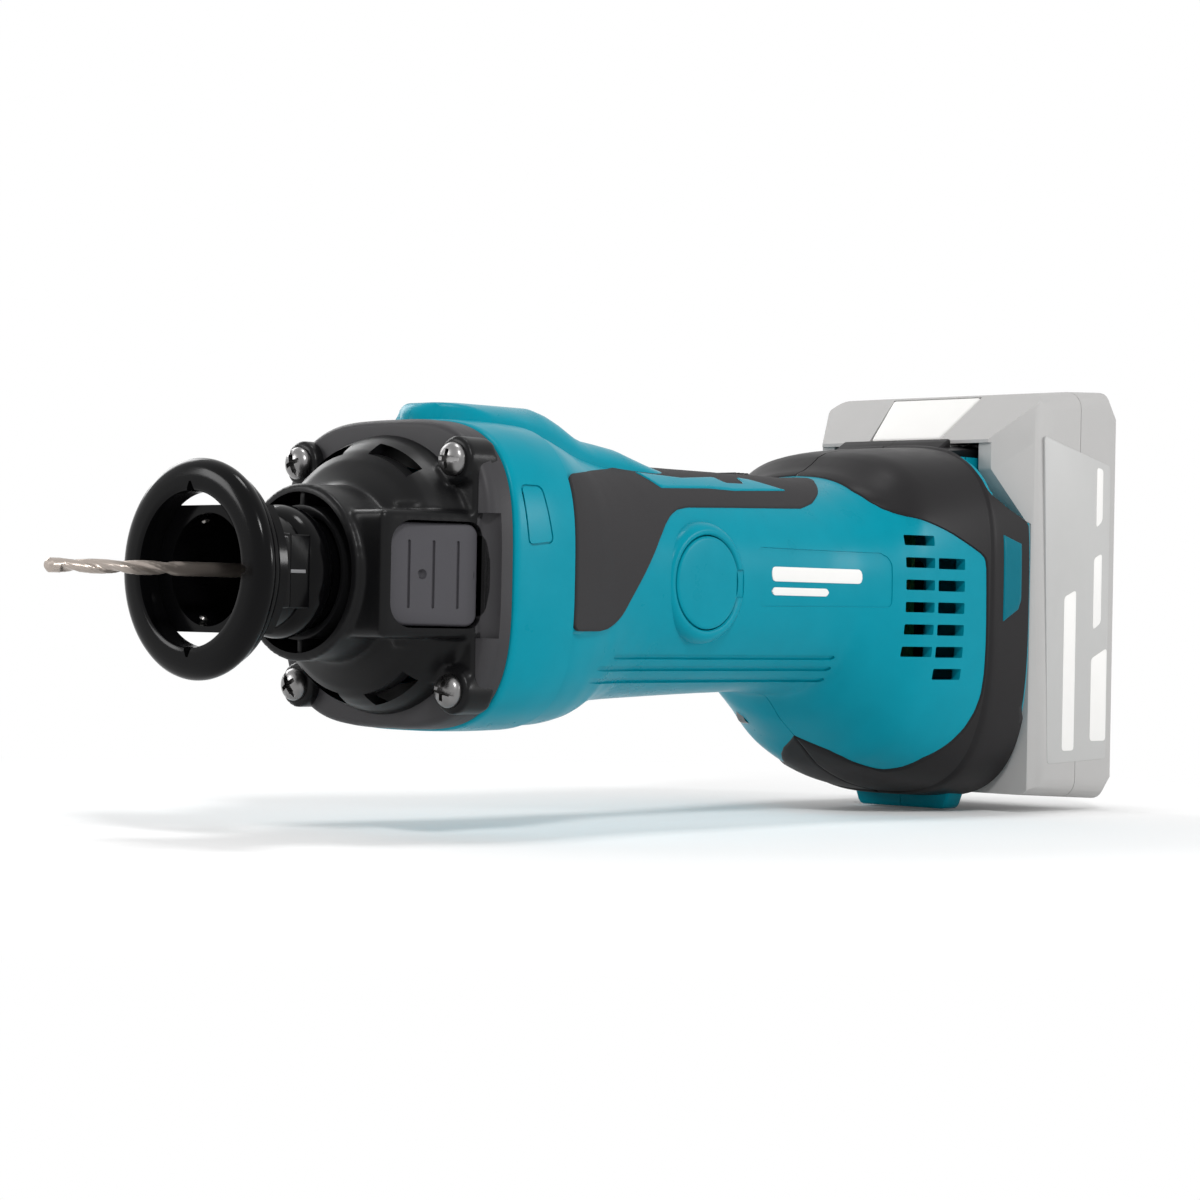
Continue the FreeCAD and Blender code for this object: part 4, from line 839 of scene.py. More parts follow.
@dataclass(frozen=True)
class Housing:
    """The two housing halves, their hump, cover bosses and battery foot."""

    front: float = 65.4
    rear: float = 264.2
    wall: float = 3.0
    collar_rear: float = 85.6
    cover_x: float = 139.0
    cover_bore: float = 11.8
    cover_face: float = 30.3
    vent_pitch: float = 5.85
    vents: tuple[tuple[float, float, float, float], ...] = (
        (212.4, 222.7, 11.4, 14.1), (224.1, 234.8, 5.4, 8.3))
    grooves: tuple[tuple[float, float, float], ...] = (
        (107.5, 194.2, -18.4), (101.0, 195.6, -21.3), (96.0, 197.0, -24.3))
    window: tuple[Point, ...] = ((68.4, 20.9), (75.0, 20.9), (77.7, 8.1), (69.8, 7.2))
    plate: tuple[Point, ...] = (
        (159.4, 9.4), (205.4, 9.1), (207.9, 7.0), (207.6, -5.0), (159.9, -5.5))
    screws: tuple[Point, ...] = ((206.2, 22.0), (210.2, -34.0), (242.2, -44.0), (242.2, 32.0),
                                 (161.0, -21.0), (74.5, -29.0), (74.5, 29.0))
    cut_corner: tuple[Point, ...] = (
        (25.4, 270.0), (27.2, 264.0), (31.0, 256.8), (36.0, 250.4), (38.6, 248.9), (60.0, 248.9),
        (60.9, 265.0))
    hump: tuple[Point, ...] = (
        (65.45, 38.7), (65.7, 39.4), (66.15, 39.9), (66.75, 40.3), (69.5, 40.9), (75.7, 41.15),
        (99.0, 41.2), (102.6, 40.4), (106.3, 38.9), (111.7, 35.9), (115.6, 34.6), (121.5, 33.9),
        (127.8, 33.0), (133.4, 31.2), (137.0, 30.0), (141.5, 28.6))
    hump_half: float = 14.8

    def relief(self, x: float, turn: float) -> float:
        """Lift of the moulded surface: rounded ends, the step behind the collar, the cut rear corner."""
        lift = 0.0
        for near in (x - self.front, self.rear - x):
            if near < 1.0:
                lift -= 1.0 - math.sqrt(max(1.0 - (1.0 - near) ** 2, 0.0))
        if x > self.collar_rear:
            step = 1.5 if turn < -0.35 else 0.7
            past = x - self.collar_rear
            lift -= step * min(past / 0.5, 1.0) * max(1 - past / 20, 0.0)
        edge = straight(self.cut_corner, math.degrees(turn))
        if x > edge:
            lift -= 0.95 * (x - edge)
        return lift

    def groove(self, first: float, last: float, z: float, side: Side) -> Mesh:
        """Cutter for one shallow groove that narrows to a point at both ends."""
        columns = spread(first, last, 1.5, (0.0, 0.3, 0.8))

        def half(x: float) -> float:
            """Half the groove's width at x."""
            return 0.62 - 0.9 * min(drawn_in(x, first, last, 1.0), 0.62)

        return HULL.panel(columns, lambda x: HULL.turn_at(x, z - half(x)),
                          lambda x: HULL.turn_at(x, z + half(x)),
                          3.0, 3.5, side, rows=2, flat=True)

    def build(self, side: Side) -> bpy.types.Object:
        """Build and dress one housing half."""
        ends = (0.12, 0.4, 1.0)
        step = self.collar_rear
        columns = [x for x in spread(self.front, step, 1.2, ends) if x < step - 0.6]
        columns += [step, step + 0.25, step + 0.5]
        columns += [x for x in spread(step, self.rear, 1.15, ends) if x > step + 1.1]
        around = 120

        def where(i: int, j: int) -> tuple[float, float, float]:
            """x, angle and lift of the shell."""
            turn = math.pi * (j / around - 0.5)
            return columns[i], turn, self.relief(columns[i], turn)

        shell = HULL.skin(where, len(columns) - 1, around, self.wall, side)
        half = placed(shell, f"housing_shell_{side.word}")
        for tool in self.cutters(side):
            carved(half, tool)
        self.fittings(half, side)
        return dressed(half, TEAL, "housing", "housing_teal", f"housing_{side.word}")

    def cutters(self, side: Side) -> list[Mesh]:
        """List the shells that cut this half's openings and grooves."""
        tools: list[Mesh] = []
        slots: list[Mesh] = []
        vents: list[Mesh] = []
        for first, last, low, high in self.vents:
            for index in range(6):
                z = index * self.vent_pitch
                y = sorted((side.value * 20.0, side.value * 45.0))
                vents.append(block((first, y[0], low - z), (last, y[1], high - z), 0.4, Way.Y, 3))
        bore = spun([(20, 0), (20, self.cover_bore), (45, self.cover_bore), (45, 0)])
        slots.append(outward(bore, side, self.cover_x))
        for first, last, z in self.grooves:
            slots.append(self.groove(first, last, z, side))
        slots.append(HULL.ribbon(rounded(self.window, 1.6), 0.5, 2.0, 2.4, side))
        top = [p for p in self.plate if p[1] > 0]
        low = [p for p in self.plate if p[1] < 0][::-1]
        span = self.plate[0][0], self.plate[2][0]
        columns = spread(*span, 2.0, (0.0, 0.1, 0.35, 0.8, 1.4))

        def edge(points: Sequence[Point], sign: int) -> Callable[[float], float]:
            """Angle of the recess edge along x."""
            line = sorted(points)
            return lambda x: HULL.turn_at(x, straight(line, x) - sign * drawn_in(x, *span, 1.4))

        slots.append(HULL.panel(columns, edge(low, -1), edge(top, 1), 2.0, 2.22, side, rows=8,
                                flat=True))
        if side is Side.LEFT:
            for x, z, wall in self.bosses():
                hole = spun([(wall - 1, 0), (wall - 1, 3.4), (50, 3.4), (50, 0)], 40)
                tools.append(outward(hole, side, x, z))
        tools += [joined(*vents[::2]), joined(*vents[1::2]), joined(*slots)]
        tools.append(switch_well())
        tools.append(block((169.5, -3.5, 18), (186.0, 3.5, 30)))
        tools.append(rail_channel())
        return tools

    def crown(self, side: Side) -> Mesh:
        """Build one half of the hump: a narrow top that rolls down to the collar at its sides."""
        xs = [self.hump[0][0], self.hump[0][0] + 0.25, self.hump[0][0] + 0.7]
        xs += spread(self.hump[0][0] + 1.3, self.hump[-1][0], 1.3)
        ys = spread(0.05, self.hump_half, 0.6)
        shell = bmesh.new()
        bmesh.ops.create_grid(shell, x_segments=len(xs) - 1, y_segments=len(ys) - 1, size=0.5)
        drop_layer = shell.verts.layers.float.new("depth")
        for vert in shell.verts:
            x = xs[round((vert.co.x + 0.5) * (len(xs) - 1))]
            y = ys[round((vert.co.y + 0.5) * (len(ys) - 1))]
            wide, high, _, square, _ = HULL.section(round(x, 4))
            ground = high * (1 - (y / wide) ** square) ** (1 / square) - 0.5
            foot = high * (1 - (self.hump_half / wide) ** square) ** (1 / square) - 0.8
            top = straight(self.hump, x)
            roll = min(max((y - 3.6) / (self.hump_half - 3.6), 0.0), 1.0)
            level = foot + (top - foot) * math.sqrt(max(1.0 - roll ** 2, 0.0))
            inside = (x - self.hump[0][0] - 0.06 * y * y) / 3.2
            if inside < 1:
                rise = math.sqrt(1 - (1 - max(inside, 0.0)) ** 2)
                level = ground + max(level - ground, 0.0) * rise
            vert.co = (x, side.value * y, level)
            vert[drop_layer] = min(foot, ground) - 1.2
        grown = bmesh.ops.extrude_face_region(shell, geom=shell.faces[:])["geom"]
        for vert in verts_of(grown):
            vert.co.z = min(vert[drop_layer], vert.co.z - 0.3)
        bmesh.ops.recalc_face_normals(shell, faces=shell.faces)
        return shell

    def bosses(self) -> list[tuple[float, float, float]]:
        """List each case screw whose boss fits in the shell, with the length of that boss.

        Returns:
            Place along x, height, and how far from the seam the boss reaches.
        """
        found = []
        for x, z in self.screws:
            rim = [HULL.point(x + 5 * math.cos(a), HULL.turn_at(x, z + 5 * math.sin(a)), -1.2,
                              Side.LEFT).y
                   for a in (k * math.pi / 8 for k in range(16))]
            if min(rim) > 12.4:
                found.append((x, z, min(rim) - 0.4))
        return found

    def fittings(self, half: bpy.types.Object, side: Side) -> None:
        """Add the hump, cover boss, battery foot, tab and screw bosses to a half."""
        sign = side.value

        def slab(low: Sequence[float], high: Sequence[float], radius: float = 0.0) -> Mesh:
            """Block on this side from corners given for the left side."""
            ys = sorted((sign * low[1], sign * high[1]))
            return block((low[0], ys[0], low[2]), (high[0], ys[1], high[2]), radius)

        face, bore = self.cover_face, self.cover_bore
        boss = spun([(22, bore - 0.05), (face - 0.35, bore - 0.05), (face, bore + 0.3),
                     (face + 0.1, bore + 0.9),
                     (face, bore + 1.5), (face - 0.45, bore + 2.2), (face - 1.2, bore + 2.8),
                     (face - 2.2, bore + 3.2), (22, bore + 3.2)], 128, ring=True)
        ring = placed(outward(boss, side, self.cover_x), "cover_boss")
        ys = sorted((sign * (face - 1.3), sign * (face + 2)))
        carved(ring, block((self.cover_x + 10.6, ys[0], -3.5), (self.cover_x + 13.7, ys[1], 3.5),
                           0.5, Way.Y, 3))
        welded(half, ring)
        parts = [self.crown(side),
                 slab((248.2, SEAM, -45), (251.6, 24, 36.5)),
                 slab((251.2, RAIL_GAP, -45), (264.0, 24, 36.5)),
                 slab((251.2, SEAM, -45), (264.0, RAIL_GAP + 0.5, -42)),
                 slab((258.6, RAIL_GAP - 2.2, -39.8), (261.0, RAIL_GAP + 0.3, 34), 0.4)]
        ys = sorted((sign * SEAM, sign * 17.0))
        tab = prism([(ys[0], -54.5), (ys[1], -54.5), (ys[1] * 0.9, -58.8), (ys[1] * 0.85, -60.1),
                     (ys[0] * 0.85, -60.1),
                     (ys[0] * 0.9, -58.8)], Way.X, 256.4, 263.6)
        parts.append(soften(tab, 0.9, 3, 24, lambda mid: mid.z < -55 and abs(mid.y) > 0.5))
        for x, z, wall in self.bosses():
            seat = min(15.6, wall - 3.0)
            right = [(SEAM, 1.8), (wall, 1.8), (wall, 4.4), (SEAM, 4.4)]
            left = [(SEAM, 1.8), (seat, 1.8), (seat + 0.4, 3.45), (wall, 3.45), (wall, 4.6),
                    (SEAM, 4.6)]
            tube = spun(left if side is Side.LEFT else right, 32, ring=True)
            parts.append(outward(tube, side, x, z))
        gathered(half, *parts)


@dataclass(frozen=True)
class Overmould:
    """The soft grip, the rear bumper and the teal inlays on them."""

    grip_front: float = 85.9
    grip_rear: float = 205.0
    grip_low: tuple[Point, ...] = (
        (85.9, -12.5), (97.5, -12.4), (101.5, -11.8), (104.6, -10.5), (107.3, -8.4), (109.8, -5.2),
        (115.3, 1.4), (122.0, 9.8), (125.6, 13.6), (129.2, 16.2), (132.6, 17.6), (137.0, 18.3),
        (152, 18.8), (182, 19.7), (188, 21.2), (194, 23.9), (200, 27.0), (205.0, 28.75))
    grip_high: tuple[Point, ...] = (
        (85.9, 24.2), (104.5, 26.0), (117.0, 27.0), (123.3, 27.8), (128.5, 28.6))
    grip_top: float = 131.5
    strip_low: tuple[Point, ...] = (
        (127.8, 26.4), (131.3, 22.7), (150.2, 23.4), (160, 23.2), (181.5, 24.1))
    strip_high: tuple[Point, ...] = (
        (127.8, 26.5), (143.7, 25.8), (158.0, 26.6), (159.4, 25.2), (167.6, 25.3), (169.0, 26.9),
        (172.3, 26.6), (181.5, 24.2))
    bumper_front: tuple[Point, ...] = (
        (-90, 209.3), (-79.6, 214.5), (-76, 217.5), (-71.4, 226.0), (-66, 229.3), (-60, 232.0),
        (-53.4, 237.2), (-48, 240.6), (-43, 242.8), (-38, 244.0), (-32, 244.3), (-19.9, 244.2),
        (0, 243.9), (9, 243.7), (13.0, 243.2), (15.0, 241.2), (17.3, 237.7), (23.1, 228.2),
        (29.7, 215.2), (32.5, 211.6), (36, 209.0), (41, 207.2), (50, 206.0), (65.7, 206.8),
        (78, 207.4), (90, 208.0))
    bumper_rear: tuple[Point, ...] = (
        (-90, 263.8), (-43, 263.8), (-41.5, 262.5), (25.5, 262.5), (27.2, 261.4), (31.0, 254.5),
        (36.0, 248.3), (38.2, 247.0), (44, 246.5), (51.4, 246.3), (59.6, 246.9), (60.4, 263.6),
        (90, 263.8))
    ridge: float = 245.4
    bars: tuple[tuple[float, float, float, float], ...] = (
        (164.0, 198.0, 0.9, 4.6), (164.0, 186.0, -2.6, -0.6))
    badge: tuple[Point, ...] = ((250.3, 15.0), (258.4, 12.8), (257.6, -4.5), (250.6, -7.9))

    def build(self, side: Side) -> None:
        """Build and dress one side's soft panels and inlays."""
        self.grip(side)
        self.strip(side)
        self.bumper(side)
        bars = joined(*[self.bar(side, *sizes) for sizes in self.bars])
        dressed(placed(bars, f"panel_bars_{side.word}"), WHITE, "housing", "latch_white")

    def bar(self, side: Side, first: float, last: float, low: float, high: float) -> Mesh:
        """Build one plain bar of the panel, between two places and two heights."""
        columns = spread(first, last, 1.5, (0.0, 0.3, 0.8, 1.3))
        return HULL.panel(columns,
                          lambda x: HULL.turn_at(x, low + drawn_in(x, first, last, 1.3)),
                          lambda x: HULL.turn_at(x, high - drawn_in(x, first, last, 1.3)),
                          0.02, 0.7, side, rows=6, roll=0.05)

    def grip(self, side: Side) -> None:
        """Build the speckled grip panel."""
        dense = (0.0, 0.15, 0.45, 0.9, 1.5, 2.3)
        columns = spread(self.grip_front, self.grip_rear, 1.3, dense)

        def low(x: float) -> float:
            """Angle of the lower edge."""
            inset = drawn_in(x, self.grip_front, 999.0, 2.3)
            return min(HULL.turn_at(x, straight(self.grip_low, x) + inset), math.radians(89.6))

        def high(x: float) -> float:
            """Angle of the upper edge, which climbs to the centre seam."""
            last_x, last_z = self.grip_high[-1]
            if x > self.grip_top:
                return math.radians(90)
            inset = drawn_in(x, self.grip_front, 999.0, 2.3)
            turn = HULL.turn_at(min(x, last_x), straight(self.grip_high, min(x, last_x)) - inset)
            if x > last_x:
                turn += (math.radians(90) - turn) * (x - last_x) / (self.grip_top - last_x)
            return turn

        shell = HULL.panel(columns, low, high, 0.4, 1.4, side, rows=44, roll=0.9, seam=True)
        half = placed(shell, f"grip_skin_{side.word}")
        carved(half, switch_well())
        dressed(half, GRIP, "housing", "grip_rubber", f"grip_{side.word}", sharp=50)

    def strip(self, side: Side) -> None:
        """Build the teal chevron strip that lies in the grip."""
        columns = spread(self.strip_low[0][0], self.strip_low[-1][0], 1.0, (0.0, 0.15, 0.5))
        shell = HULL.panel(columns, lambda x: HULL.turn_at(x, straight(self.strip_low, x)),
                           lambda x: HULL.turn_at(x, straight(self.strip_high, x)), 0.75, 1.4, side,
                           rows=8, roll=0.5)
        dressed(placed(shell, f"grip_strip_{side.word}"), TEAL, "housing", "housing_teal", sharp=50)

    def bumper(self, side: Side) -> None:
        """Build the rear bumper with its ridge, and the badge inlay on it."""
        turns = sorted({*[-90 + 1.5 * k for k in range(121)], -89.6, 60.0, 60.4, 59.6, 89.6, 59.0,
                        61.0})
        front_share, rear_share = 14, 12
        count = front_share + 2 + rear_share
        rim = (0.0, 0.2, 0.55)

        def where(i: int, j: int) -> tuple[float, float, float]:
            """x, angle and lift at a column and row."""
            turn = turns[j]
            first, last = straight(self.bumper_front, turn), straight(self.bumper_rear, turn)
            ridge = min(self.ridge, last - 0.8)
            if i <= front_share:
                flat = ridge - 0.5 - first - rim[2]
                near = rim[i] if i < 3 else rim[2] + flat * (i - 2) / (front_share - 2)
                x = min(first + near, ridge - 0.5)
            elif i <= front_share + 2:
                x = ridge - 0.5 + 0.5 * (i - front_share)
            else:
                k = count - i
                flat = last - ridge - 0.5 - rim[2]
                near = rim[k] if k < 3 else rim[2] + flat * (k - 2) / (rear_share - 2)
                x = max(last - near, ridge + 0.5)
            raised = 0.45 + 0.55 * min(max((x - ridge) / 0.7, 0.0), 1.0)
            drop = {0: 1.0, 1: 0.35, count: 1.0, count - 1: 0.35}.get(i, 0.0)
            if j in (0, len(turns) - 1):
                drop = max(drop, 0.25)
            return x, math.radians(turn), raised - (raised + 0.45) * drop

        shell = HULL.skin(where, count, len(turns) - 1, 1.9, side)
        half = placed(shell, f"bumper_skin_{side.word}")
        carved(half, rail_channel())
        lip = prism([(246.4, 38.6), (249.6, 40.6), (251.4, 41.6), (252.0, 41.5), (252.2, 41.0),
                     (252.2, 36.0),
                     (246.4, 36.0)], Way.Y, *sorted((side.value * 0.05, side.value * 18.5)))
        outer = side.value * 18.5
        soften(lip, 1.5, 4, 40, lambda mid: abs(mid.y - outer) < 0.1 and mid.z > 38)
        gathered(half, lip)
        dressed(half, BUMPER, "housing", "bumper_rubber", f"rear_bumper_{side.word}", sharp=50)
        columns = spread(self.badge[0][0], self.badge[1][0], 1.0, (0.0, 0.12, 0.4))
        upper = [self.badge[0], self.badge[1]]
        lower = [self.badge[3], self.badge[2], (self.badge[1][0], -1.0)]
        shell = HULL.panel(columns, lambda x: HULL.turn_at(x, straight(lower, x)),
                           lambda x: HULL.turn_at(x, straight(upper, x)), 1.25, 1.4, side, rows=8,
                           roll=0.35)
        nodes = ("badge_inlays",) if side is Side.RIGHT else ()
        dressed(placed(shell, f"badge_inlay_{side.word}"), BADGE, "housing", "housing_teal",
                *nodes, sharp=50)


# ---------------------------------------------------------------------------
# Nose
# ---------------------------------------------------------------------------
@dataclass(frozen=True)
class Nose:
    """The black nose housing: neck, dome, flange, screw bosses and lock boss."""

    screw_pitch: float = 26.33
    screw_front: float = 55.2
    boss_radius: float = 5.4
    dome: tuple[Point, ...] = (
        (31.7, 0), (31.7, 19.9), (32.1, 20.3), (44.2, 20.3), (45.2, 21.2), (46.3, 23.4),
        (47.6, 26.3), (49.4, 28.6), (51.8, 30.3), (54.6, 31.6), (57.2, 32.4), (61.0, 33.2),
        (61.0, 0))
    hollow: tuple[Point, ...] = (
        (30.0, 0), (30.0, 18.4), (44.0, 18.4), (46.6, 20.8), (48.2, 24.0), (50.4, 26.6),
        (53.4, 28.6), (57.2, 30.0), (62.6, 30.8), (62.6, 0))
    vent_turns: tuple[float, ...] = (23.5, -23.5, 156.5, 203.5)
    vent_span: float = 29.0
    vent_radii: Point = (28.0, 30.6)
    voxel: float = 0.62

    def build(self) -> None:
        """Build and dress the nose, its flange and its screws."""
        dome, flange = self.blended(), placed(self.flange(), "nose_flange_ring")
        for thing in (dome, flange):
            carved(thing, self.ramp())
            carved(thing, spun(self.hollow))
            carved(thing, self.flange_hollow())
            carved(thing, joined(*[self.arc(turn) for turn in self.vent_turns]))
            pocket = prism([(36.0, -16.25), (36.0, -29.0), (59.4, -32.6), (59.4, -16.25)], Way.Z,
                           -12.1, 12.1)
            carved(thing, posts_rounded(pocket, 5.5, 3.1))
        carved(dome, block((35.7, 12, -3.5), (41.7, 24, 3.5)))
        self.fittings(dome)
        dressed(dome, NOSE, "housing", "nose_black", "nose_housing", sharp=38)
        # The flange takes the lighter black, whose colour holds painted light on its face.
        dressed(flange, FLANGE_PAINTED_LIGHT, "housing", "nose_black", sharp=38)
        self.screws()

    def ramp(self) -> Mesh:
        """Build the cutter that eases the flange down to the lock boss."""
        profile = [(56.5, -31.35), (59.3, -31.5), (60.2, -32.0), (61.0, -33.0), (61.6, -34.4),
                   (61.9, -36.0),
                   (61.9, -42.0), (56.5, -42.0)]
        return prism(profile, Way.Z, -14.2, 14.2)

    def blended(self) -> bpy.types.Object:
        """Build the dome with its bosses and webs run together in soft fillets."""
        shells = [spun(self.dome, 128)]
        for y in (-1, 1):
            for z in (-1, 1):
                boss = spun([(self.screw_front, 0), (self.screw_front, self.boss_radius),
                             (64.0, self.boss_radius),
                             (64.0, 0)], 48)
                bmesh.ops.translate(boss, vec=(0, y * self.screw_pitch, z * self.screw_pitch),
                                    verts=boss.verts)
                shells.append(boss)
                web = block((57.0, -2.6, 26), (63.0, 2.6, 36.0))
                shells.append(turned(web, math.degrees(math.atan2(-y, z))))
        lock = prism([(33.8, -12), (33.8, -25.6), (35.0, -26.4), (61.9, -31.9), (63.4, -31.2),
                      (63.4, -12)],
                     Way.Z, -14.4, 14.4)
        soften(lock, 3.2, 5, 60, lambda mid: abs(abs(mid.z) - 14.4) < 0.1 and mid.y < -14)
        shells.append(lock)
        for z in (-1, 1):
            low, high = sorted((z * 13.0, z * 25.5))
            shells.append(block((57.2, -31.6, low), (63.0, -26.8, high)))
            shells.append(prism([(45.2, -17.5), (47.5, -22.0), (60, -27.5), (60, -17.5)], Way.Z,
                                *sorted((z * 13.0, z * 16.4))))
        dome = placed(joined(*shells), "nose_shell")
        remesh = dome.modifiers.new("blend", "REMESH")
        remesh.mode, remesh.voxel_size, remesh.adaptivity = "VOXEL", self.voxel * MM, 0.0
        ease = dome.modifiers.new("ease", "SMOOTH")
        ease.factor, ease.iterations = 0.5, 5
        return baked(dome)

    def flange(self) -> Mesh:
        """Build the rounded-square flange that meets the collar."""
        xs = [58.0, 58.0, 58.15, 58.6, 59.3, 60.4, 61.6, 61.8, 63.4, 64.9, 65.2, 65.3]
        lifts = [-36.0, -1.5, -0.75, -0.25, 0.0, 0.0, 0.0, -0.35, -0.35, -0.35, -0.8, -36.0]
        return self.sleeve(xs, lifts)

    def flange_hollow(self) -> Mesh:
        """Build the cutter for the flange's inside."""
        return self.sleeve([60.8, 60.8, 66.5, 66.5], [-36.0, -3.2, -3.2, -36.0])

    def sleeve(self, xs: Sequence[float], lifts: Sequence[float]) -> Mesh:
        """Close a shell round the axis from rings at x, each lifted off the housing's surface."""
        around = 160
        shell = bmesh.new()
        bmesh.ops.create_grid(shell, x_segments=len(xs) - 1, y_segments=around, size=0.5)
        for vert in shell.verts:
            i = round((vert.co.x + 0.5) * (len(xs) - 1))
            j = round((vert.co.y + 0.5) * around) % around
            turn = TURN * j / around
            fold = math.asin(min(max(math.sin(turn), -1.0), 1.0))
            reach = max(HULL.radius(xs[i], fold) + lifts[i], 0.0) if lifts[i] > -30 else 0.0
            vert.co = (xs[i], reach * math.cos(turn), reach * math.sin(turn))
        bmesh.ops.remove_doubles(shell, verts=shell.verts, dist=0.002)
        bmesh.ops.recalc_face_normals(shell, faces=shell.faces)
        return shell

    def arc(self, turn: float) -> Mesh:
        """Build the cutter for one curved air slot, at an angle from the top."""
        shell = bmesh.new()
        low, high = self.vent_radii
        corners = [shell.verts.new(spot) for spot in ((42, 0, low), (60, 0, low), (60, 0, high),
                                                      (42, 0, high))]
        face = shell.faces.new(corners)
        bmesh.ops.spin(shell, geom=[face], cent=(0, 0, 0), axis=(1, 0, 0),
                       angle=math.radians(self.vent_span), steps=12)
        bmesh.ops.recalc_face_normals(shell, faces=shell.faces)
        return turned(shell, turn - self.vent_span / 2)

    def fittings(self, nose: bpy.types.Object) -> None:
        """Add the shoe guide, its spokes, the clamp's ears and a dark ring of painted shade behind the air
        slots.
        """
        guide = spun([(32.1, 14.3), (33.6, 14.3), (33.6, 13.1), (55, 13.1), (55, 11), (57, 11),
                      (57, 13.05),
                      (65, 13.05), (65, 15.4), (54, 15.4), (54, 15.35), (32.1, 15.35)], ring=True)
        soften(guide, 0.25, 2, 40)
        # Dark ring behind the air slots: painted shade, a dark sheet where the inside of the nose would only
        # be in shade.
        vent_shade_ring = spun([(63.1, 25.4), (64.2, 25.4), (64.2, 32.9), (63.1, 32.9)], 96, ring=True)
        parts = [guide, vent_shade_ring]
        for low in (14.85, -19.15):
            parts.append(block((32.9, -0.8, low), (48.9, 0.8, low + 4.3), 0.25, None, 2))
        for low in (4.8, -7.4):
            parts.append(block((35.5, 15, low), (41.9, 26.8, low + 2.6), 0.9, Way.Z))
        for turn in (45, 135, 225, 315):
            parts.append(turned(block((58.4, -1.5, 14.5), (64.4, 1.5, 30.5)), turn))
        gathered(nose, *parts)

    def screws(self) -> None:
        """Build the four pan-head screws, each stopped at its own angle."""
        x = self.screw_front
        screw = spun([(x - 2.75, 0), (x - 2.68, 1.2), (x - 2.35, 2.4), (x - 1.8, 3.3),
                      (x - 1.1, 3.8), (x - 0.5, 3.9),
                      (x, 3.85), (x, 1.95), (x + 8.0, 1.9), (x + 9.0, 1.0), (x + 9.0, 0)], 64)
        thing = placed(screw, "flange_screws_pan")
        carved(thing, block((x - 3, -5, -0.45), (x - 1.75, 5, 0.45)))
        for wide, high in ((0.55, 2.3), (2.3, 0.75)):
            slot = [(-wide, -high), (wide, -high), (wide, high), (-wide, high)]
            carved(thing, prism(slot, Way.X, x - 3, x - 0.9))
        whole = bmesh.new()
        tilts = {(-1, 1): 4.0, (-1, -1): 12.0, (1, 1): 70.0, (1, -1): 58.0}
        for (y, z), tilt in tilts.items():
            spot = Matrix.Translation((0, y * self.screw_pitch * MM, z * self.screw_pitch * MM))
            copy = thing.data.copy()
            copy.transform(spot @ Matrix.Rotation(math.radians(tilt), 4, "X"))
            whole.from_mesh(copy)
            bpy.data.meshes.remove(copy)
        whole.to_mesh(thing.data)
        whole.free()
        dressed(thing, ZINC, "housing", "screw_steel", "flange_screws", sharp=40)


@dataclass(frozen=True)
class ShaftLock:
    """The spindle lock's push pad."""

    front: float = 36.4
    rear: float = 59.0
    half: float = 11.7
    inner: float = 21.4
    face_front: float = 24.5
    face_rear: float = 30.9
    grooves: tuple[float, ...] = (42.0, 48.0, 54.0)
    dimple: float = 45.2

    def face(self, x: float) -> float:
        """Distance of the sloping face from the centre plane at x."""
        share = (x - self.front) / (self.rear - self.front)
        return self.face_front + (self.face_rear - self.face_front) * share

    def build(self) -> None:
        """Build and dress the pad."""
        pad = prism([(self.front, -self.inner), (self.front, -self.face_front),
                     (self.rear, -self.face_rear),
                     (self.rear, -self.inner)], Way.Z, -self.half, self.half)
        soften(posts_rounded(pad, 5.2, 2.8), 0.8, 4, 50, lambda mid: mid.y < -self.inner - 1.5)
        thing = placed(pad, "lock_pad")
        cuts = []
        for x in self.grooves:
            y = -self.face(x)
            cuts.append(block((x - 0.35, y - 3, -7.7), (x + 0.35, y + 0.45, 7.7), 0.3, Way.Y, 3))
        dimple = spun([(self.face(self.dimple) - 1.0, 0), (self.face(self.dimple) - 0.9, 0.7),
                       (self.face(self.dimple) - 0.4, 1.1), (self.face(self.dimple) + 3, 1.5),
                       (self.face(self.dimple) + 3, 0)], 40)
        cuts.append(outward(dimple, Side.RIGHT, self.dimple))
        carved(thing, joined(*cuts))
        dressed(thing, BUTTON, "shaft_lock", "button_grey", "shaft_lock_button", sharp=38)


